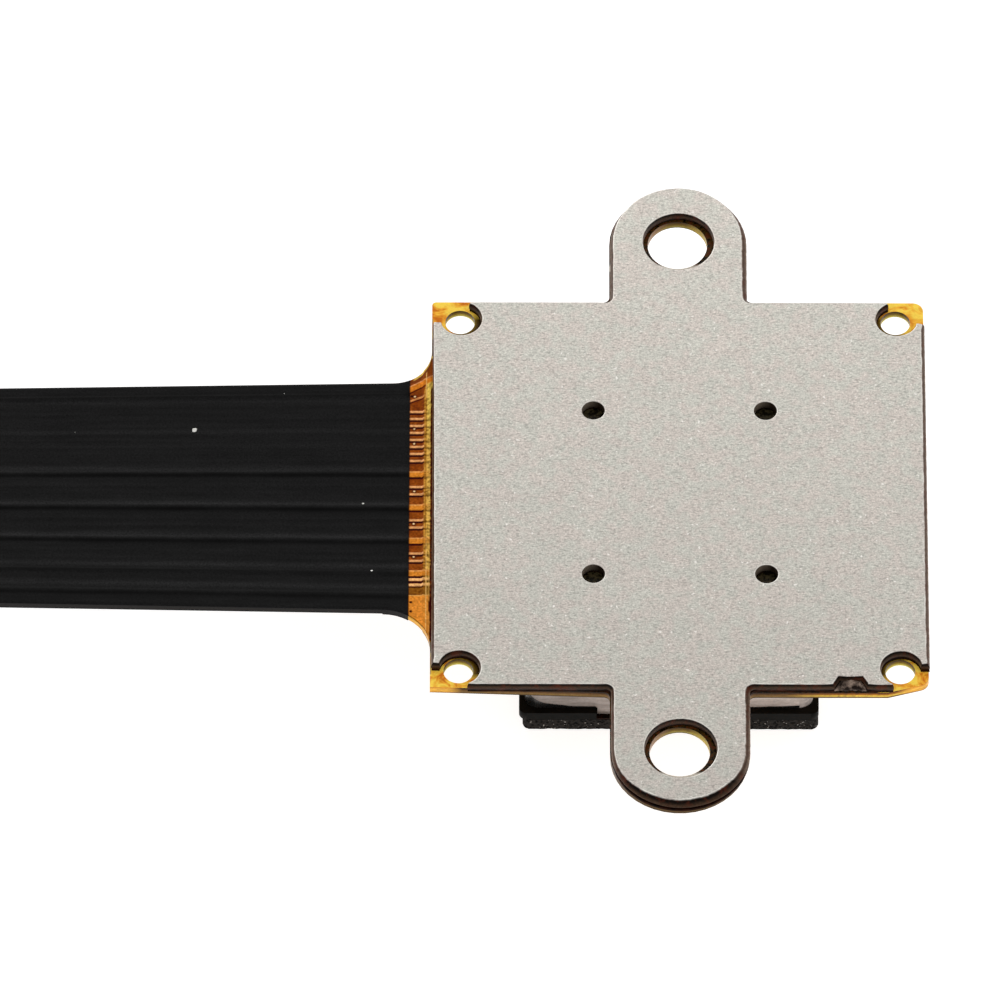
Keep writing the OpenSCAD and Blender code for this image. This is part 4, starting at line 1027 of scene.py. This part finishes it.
def band_colours(c, x, y, bare, grit):
    """The strip's colours with the yellow band over them, along the step."""
    past_step = x - X_STEP
    gold = lay(np.zeros_like(c) + srgb(206, 146, 60)[:3],
               ((238, 186, 88), smooth(past_step, 0.07, 0.11)),
               ((248, 214, 100), smooth(y, 1.6, 3.2) * smooth(past_step, 0.07, 0.13) * 0.8),
               ((130, 80, 16), 0.5 * smooth(1 - grit, 0.45, 0.8)))
    past_end = y - BAND_END_Y - 1.1 * np.maximum(past_step - 0.01, 0) ** 0.5
    return c + (gold - c) * ((1 - bare) * (1 - smooth(past_end, 0.06, 0.10)))[..., None]


def root_colours(x, y, far, near):
    cloud, grit = unit_noise(x * 2, y, 0.3, 41), unit_noise(x, y, 0.045, 42)
    bare = 1 - smooth(x, X_BAND - 0.012, X_BAND + 0.012)
    low_side = smooth(-y, 1.0, 2.4)
    c = lay(np.zeros((*x.shape, 3)) + srgb(150, 78, 28)[:3], ((116, 50, 16), 0.8 * cloud))
    c = band_colours(c, x, y, bare, grit)
    # Conductors, each with a dark line of painted shade beside it on the near side, the wide ones also with a
    # painted highlight along their far side. The shares say how much shows through the band
    seen = np.maximum(bare, 0.35 + 0.6 * low_side)
    for centre in WIDE_Y:
        c = stripes(c, y - centre, (0, 0.105, (214, 132, 46), seen),
                    (0.075, 0.028, (232, 160, 88), seen * 0.8),
                    (-0.138, 0.034, (56, 8, 0), np.maximum(bare, 0.5)))
    for centre in THIN_Y:
        c = stripes(c, y - centre, (0, 0.038, (234, 168, 108), bare),
                    (-0.072, 0.032, (52, 8, 0), np.maximum(bare, 0.55)))
    seen = np.maximum(bare, 0.75)
    for centre in BRIGHT_Y:
        c = stripes(c, y - centre, (0, 0.045, (250, 190, 124), seen), (-0.092, 0.038, (52, 10, 0), seen))
    # The fanning conductors likewise: painted shade lines on their near side, and a painted highlight along
    # the wide one's far side
    thin, wide = fan_lines(x)
    c = stripes(c, y - thin, (0, 0.034, (212, 142, 82), bare), (-0.062, 0.02, (74, 26, 4), bare))
    c = stripes(c, y - wide, (0, 0.11, (222, 130, 42), 1), (0.09, 0.022, (226, 158, 104), 0.8),
                (-0.14, 0.022, (80, 30, 6), bare))
    # Filled area along the near side, with a dull strip before it and a painted highlight along its far edge
    dull = smooth(-y, 3.22, 3.26) * (1 - smooth(-y, 3.50, 3.53))
    filled = smooth(-y, -FILL_Y, 0.03 - FILL_Y)
    c = lay(c, ((132, 84, 28), dull * (0.6 + 0.4 * grit)), ((232, 148, 58), filled),
            ((204, 118, 36), filled * cloud * 0.6), ((232, 172, 92), strip(FILL_Y - 0.025 - y, 0.02) * 0.8))
    # The fine line: dark in the band, light where conductors or the filled area lie under it
    line = strip(x - X_LINE - 0.02 * low_side, 0.010, 0.012)
    far_end = smooth(y, 3.4, 3.6)
    c = lay(c, ((120, 78, 20), line * (1 - low_side) * 0.7 * (1 - far_end)),
            ((252, 204, 122), line * np.maximum(low_side, far_end) * 0.85),
            ((240, 200, 110), strip(x - X_GAP + 0.02, 0.008, 0.012) * 0.5 * (1 - smooth(y, 3.7, 3.9))))
    # Dark gap in front of the steel, with a ragged edge
    ragged = X_GAP + 0.012 * value_noise(1, y, 0.09, 43) + 0.010 * value_noise(1, y, 0.3, 44)
    gap = smooth(x, ragged - 0.008, ragged + 0.012) * (1 - smooth(y, 3.75, 4.0))
    c = lay(c, ((66, 22, 6), gap), ((110, 50, 20), gap * smooth(grit, 0.55, 0.9) * 0.7))
    # Brown line and pale lip along the far fillet, olive lip along the near one
    c = lay(c, ((124, 64, 34), strip(far - y - 0.14, 0.06) * smooth(y, 3.9, 4.1) * 0.9),
            ((226, 188, 92), strip(far - y, 0.085, 0.03) * smooth(x - film_high[0], 0.07, 0.17)),
            ((140, 96, 30), strip(y - near, 0.04, 0.03)))
    # Bright dots in dark rings, small dark pits, the dark end at the steel, and painted shadow along the
    # film's edge
    c = spots(c, x, y, DOTS, 0.05, 0.10, (70, 30, 10), 0.7)
    c = spots(c, x, y, DOTS, 0.018, 0.036, (246, 214, 160))
    c = spots(c, x, y, PITS, 0.03, 0.055, (48, 20, 8))
    near_end = smooth(-y, 3.7, 3.76) * (1 - smooth(-y, 4.1, 4.16))
    c = lay(c, ((70, 24, 10), strip(x - PANEL_X + 0.01, 0.05, 0.04) * near_end),
            ((52, 26, 16), 1 - smooth(x, film_high[0] - 0.004, film_high[0] + 0.035)))
    return np.maximum(c * (0.66 + 0.56 * grit[..., None]) - (0.004, 0.008, 0.008), 0)


def root_beads(x, y):
    """Height of the conductors under the cover film."""
    height = 0.0015 * value_noise(x, y, 0.08, 45)
    for centre in WIDE_Y:
        height += ridge(y - centre, *WIDE_RIDGE)
    for centre in THIN_Y + BRIGHT_Y:
        height += ridge(y - centre, *THIN_RIDGE)
    thin, wide = fan_lines(x)
    height += ridge(y - thin, *THIN_RIDGE) + ridge(y - wide, *WIDE_RIDGE)
    return height + 0.020 * smooth(-y, -FILL_Y - 0.03, 0.03 - FILL_Y)


def make_root_skin():
    # Its ends go a little under the film and under the steel
    under = 0.008
    start, end = film_high[0] - under, bond_low[0] - under
    # At the panel's edge the outline turns out to the corners, so the tail's sides are read before it
    side_length, outline_end = 14, PANEL_X - 0.005
    far, near = edge_lines("flex_circuit", film_high[0] - side_length, outline_end)
    x, share = np.meshgrid(np.linspace(start, end, 38), np.linspace(0, 1, 760), indexing="ij")
    along = np.minimum(x, outline_end - 0.001)
    y_far, y_near = far(along), near(along)
    margin = 0.004
    y = y_near + margin + (y_far - y_near - 2 * margin) * share
    level = np.interp(x, [X_STEP - 0.032, X_STEP - 0.003], [z_flex_top - STEP_HEIGHT, z_flex_top])
    on_step = 1 - 0.55 * smooth(x, X_STEP, X_STEP + 0.05)
    before_steel = 1 - smooth(x, PANEL_X - 0.05, PANEL_X + 0.01)
    rim = smooth(np.minimum(y_far - y, y - y_near), 0, 0.05)
    z = level + 0.004 + root_beads(x, y) * on_step * before_steel * rim
    verts, faces = slab(x, y, z, level + 0.0008)
    piece = mesh_piece("root_cover_film", verts, faces, cover_film, edge_angle=50)
    colours = root_colours(x, y, y_far, y_near).reshape(-1, 3)
    paint(piece, np.concatenate([colours, colours]))
    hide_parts("bare_conductors")


make_root_skin()


# ---- Black glue against the can ----

CAN_CORNER = 0.4
GLUE_REACH = 0.115
GLUE_FOOT = box_mm("can_glue")[0][2]


def glue_patch(path, heights, seed):
    """A bead that climbs the wall: path runs along the wall's foot, heights says how high it comes."""
    path = np.array(path, float)
    run = np.concatenate([[0], np.cumsum(np.hypot(*np.diff(path, axis=0).T))])
    count = max(12, int(run[-1] / 0.045))
    at = np.linspace(0, run[-1], count)
    foot = np.stack([np.interp(at, run, path[:, 0]), np.interp(at, run, path[:, 1])], 1)
    out = -left_of(np.gradient(foot, axis=0))
    height = np.interp(at, np.linspace(0, run[-1], len(heights)), heights)
    height = height * (1 + 0.12 * value_noise(at, 0, 0.35, seed)) + 0.012 * value_noise(at, 0, 0.12, seed + 1)
    ends = np.clip(np.minimum(at, run[-1] - at) / 0.06, 0, 1) ** 0.5
    up = np.linspace(0, 1, 14)
    bulge = np.sqrt(np.clip(1 - up ** 2.4, 0, 1))
    swell = GLUE_REACH * (0.75 + 0.22 * value_noise(at, 0, 0.5, seed + 2)) * (0.25 + 0.75 * ends)
    off = swell[:, None] * bulge * np.minimum(1, 0.4 + height / 0.3)[:, None]
    off = np.minimum(off + 0.004, GLUE_REACH)
    z = GLUE_FOOT + np.maximum(height, 0.03)[:, None] * up
    in_wall = np.full_like(z, -0.01)
    inner, outer = (np.dstack([foot[:, :1] + out[:, :1] * by, foot[:, 1:] + out[:, 1:] * by, z])
                    for by in (in_wall, off))
    return closed(inner[::-1], outer[::-1])


def make_glue():
    wall_x, wall_y = can_high[:2]
    r = CAN_CORNER
    corner = [(r - wall_x - r * math.sin(a), r - wall_y - r * math.cos(a))
              for a in np.linspace(0, math.pi / 2, 9)]
    tongue = 2.06
    # The bead climbs highest at the near left corner
    patches = [
        ([(-tongue, -wall_y), *corner, (-wall_x, 0)],
         [0.05, 0.06, 0.09, 0.15, 0.27, 0.6, 0.64, 0.5, 0.3, 0.2, 0.14, 0.1, 0.08, 0.06, 0.05, 0.05]),
        ([(wall_x - r, -wall_y), (tongue, -wall_y)], [0.12, 0.09, 0.06, 0.05]),
        ([(r - wall_x, wall_y), (-tongue, wall_y)], [0.1, 0.07, 0.1]),
        ([(tongue, wall_y), (wall_x - r, wall_y)], [0.08, 0.1, 0.07]),
    ]
    verts, faces = [], []
    for k, (path, heights) in enumerate(patches):
        add_part(verts, faces, *glue_patch(path, heights, 51 + 5 * k))
    piece = mesh_piece("can_glue_beads", verts, faces, glue, edge_angle=60)
    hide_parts("can_glue")


make_glue()


# ---- Foam gasket ----

WINDOW_R, GASKET_CORNER = 3.5, 0.22
GASKET_TURNS, GASKET_STEPS, GASKET_LAYERS = 420, 26, 9


def pore_depth(x, y, seed):
    """How deep the pores of cut foam are, from 0 to 1."""
    return np.clip(unit_noise(x, y, 0.11, seed) * (0.6 + 0.4 * value_noise(x, y, 0.05, seed + 1)), 0, 1)


def round_square(way, half, corner):
    """Points of a square with round corners, along directions from its middle."""
    edge = way / np.abs(way / half[:, None]).max(0)
    centre = np.clip(edge, (corner - half)[:, None], (half - corner)[:, None])
    off = edge - centre
    in_corner = (np.abs(off) > 1e-6).all(0)
    return np.where(in_corner, centre + off / np.maximum(np.hypot(*off), 1e-9) * corner, edge)


def gasket_face(inner, outer, z, into, seed):
    """One flat face as rows from the window to the outline, with its pores cut inwards."""
    share = np.linspace(0, 1, GASKET_STEPS)[:, None]
    x, y = (a + (b - a) * share for a, b in zip(inner, outer))
    rounding = 1 - smooth(np.minimum(share, 1 - share), 0, 0.05)
    return np.stack([x, y, z + into * (0.004 + 0.035 * pore_depth(x, y, seed) + 0.02 * rounding)], -1)


def gasket_wall(ring, into, angle, seed, low, high):
    """One cut wall as rows from the bottom to the top."""
    up = np.linspace(0, 1, GASKET_LAYERS + 2)[1:-1][:, None]
    depth = 0.006 + 0.03 * pore_depth(angle * 4.2, up * 0.5, seed) + 0.015 * (1 - np.sin(math.pi * up))
    return np.stack([ring[0] + into[0] * depth, ring[1] + into[1] * depth, low + (high - low) * up], -1)


def make_foam_gasket():
    middle, half = (gasket_high + gasket_low)[:2] / 2, (gasket_high - gasket_low)[:2] / 2
    angle = np.linspace(0, 2 * math.pi, GASKET_TURNS, endpoint=False)
    way = np.stack([np.cos(angle), np.sin(angle)])
    window, outline = WINDOW_R * way, round_square(way, half, GASKET_CORNER) + middle[:, None]
    bottom = gasket_face(window, outline, gasket_low[2], 1, 61)
    top = gasket_face(window, outline, gasket_high[2], -1, 63)
    outer = gasket_wall(outline, loop_sides(outline.T).T, angle, 65, bottom[-1, :, 2], top[-1, :, 2])
    inner = gasket_wall(window, way, angle, 67, bottom[0, :, 2], top[0, :, 2])
    # One closed tube of rows: out over the bottom, up the outer wall, in over the top, down the window
    rows = np.concatenate([bottom, outer, top[::-1], inner[::-1]])
    faces = []
    for i in range(len(rows)):
        faces += band(i * GASKET_TURNS, (i + 1) % len(rows) * GASKET_TURNS, GASKET_TURNS)
    piece = mesh_piece("foam_gasket", rows.reshape(-1, 3), faces, foam, edge_angle=55)
    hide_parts("front_gasket")


make_foam_gasket()


# ---- Rounded edges ----

# How far each of these nodes' edges is rounded, in millimetres
SOFT_EDGES = {
    "plug_housing": 0.03, "lens_holder": 0.04, "shield_can": 0.03, "lens_barrel": 0.03,
    "land_stiffener": 0.03, "capacitor_ends": 0.05, "memory_chip": 0.03, "voltage_regulator": 0.03,
    "plug_contacts": 0.02,
}
for name, width in SOFT_EDGES.items():
    weld = nodes[name].modifiers.new("weld", "WELD")
    weld.merge_threshold = 1e-7
    bevel = nodes[name].modifiers.new("edges", "BEVEL")
    bevel.width = width * MM
    bevel.segments = 2
    bevel.limit_method = "ANGLE"
    bevel.angle_limit = math.radians(40)
    bevel.harden_normals = False
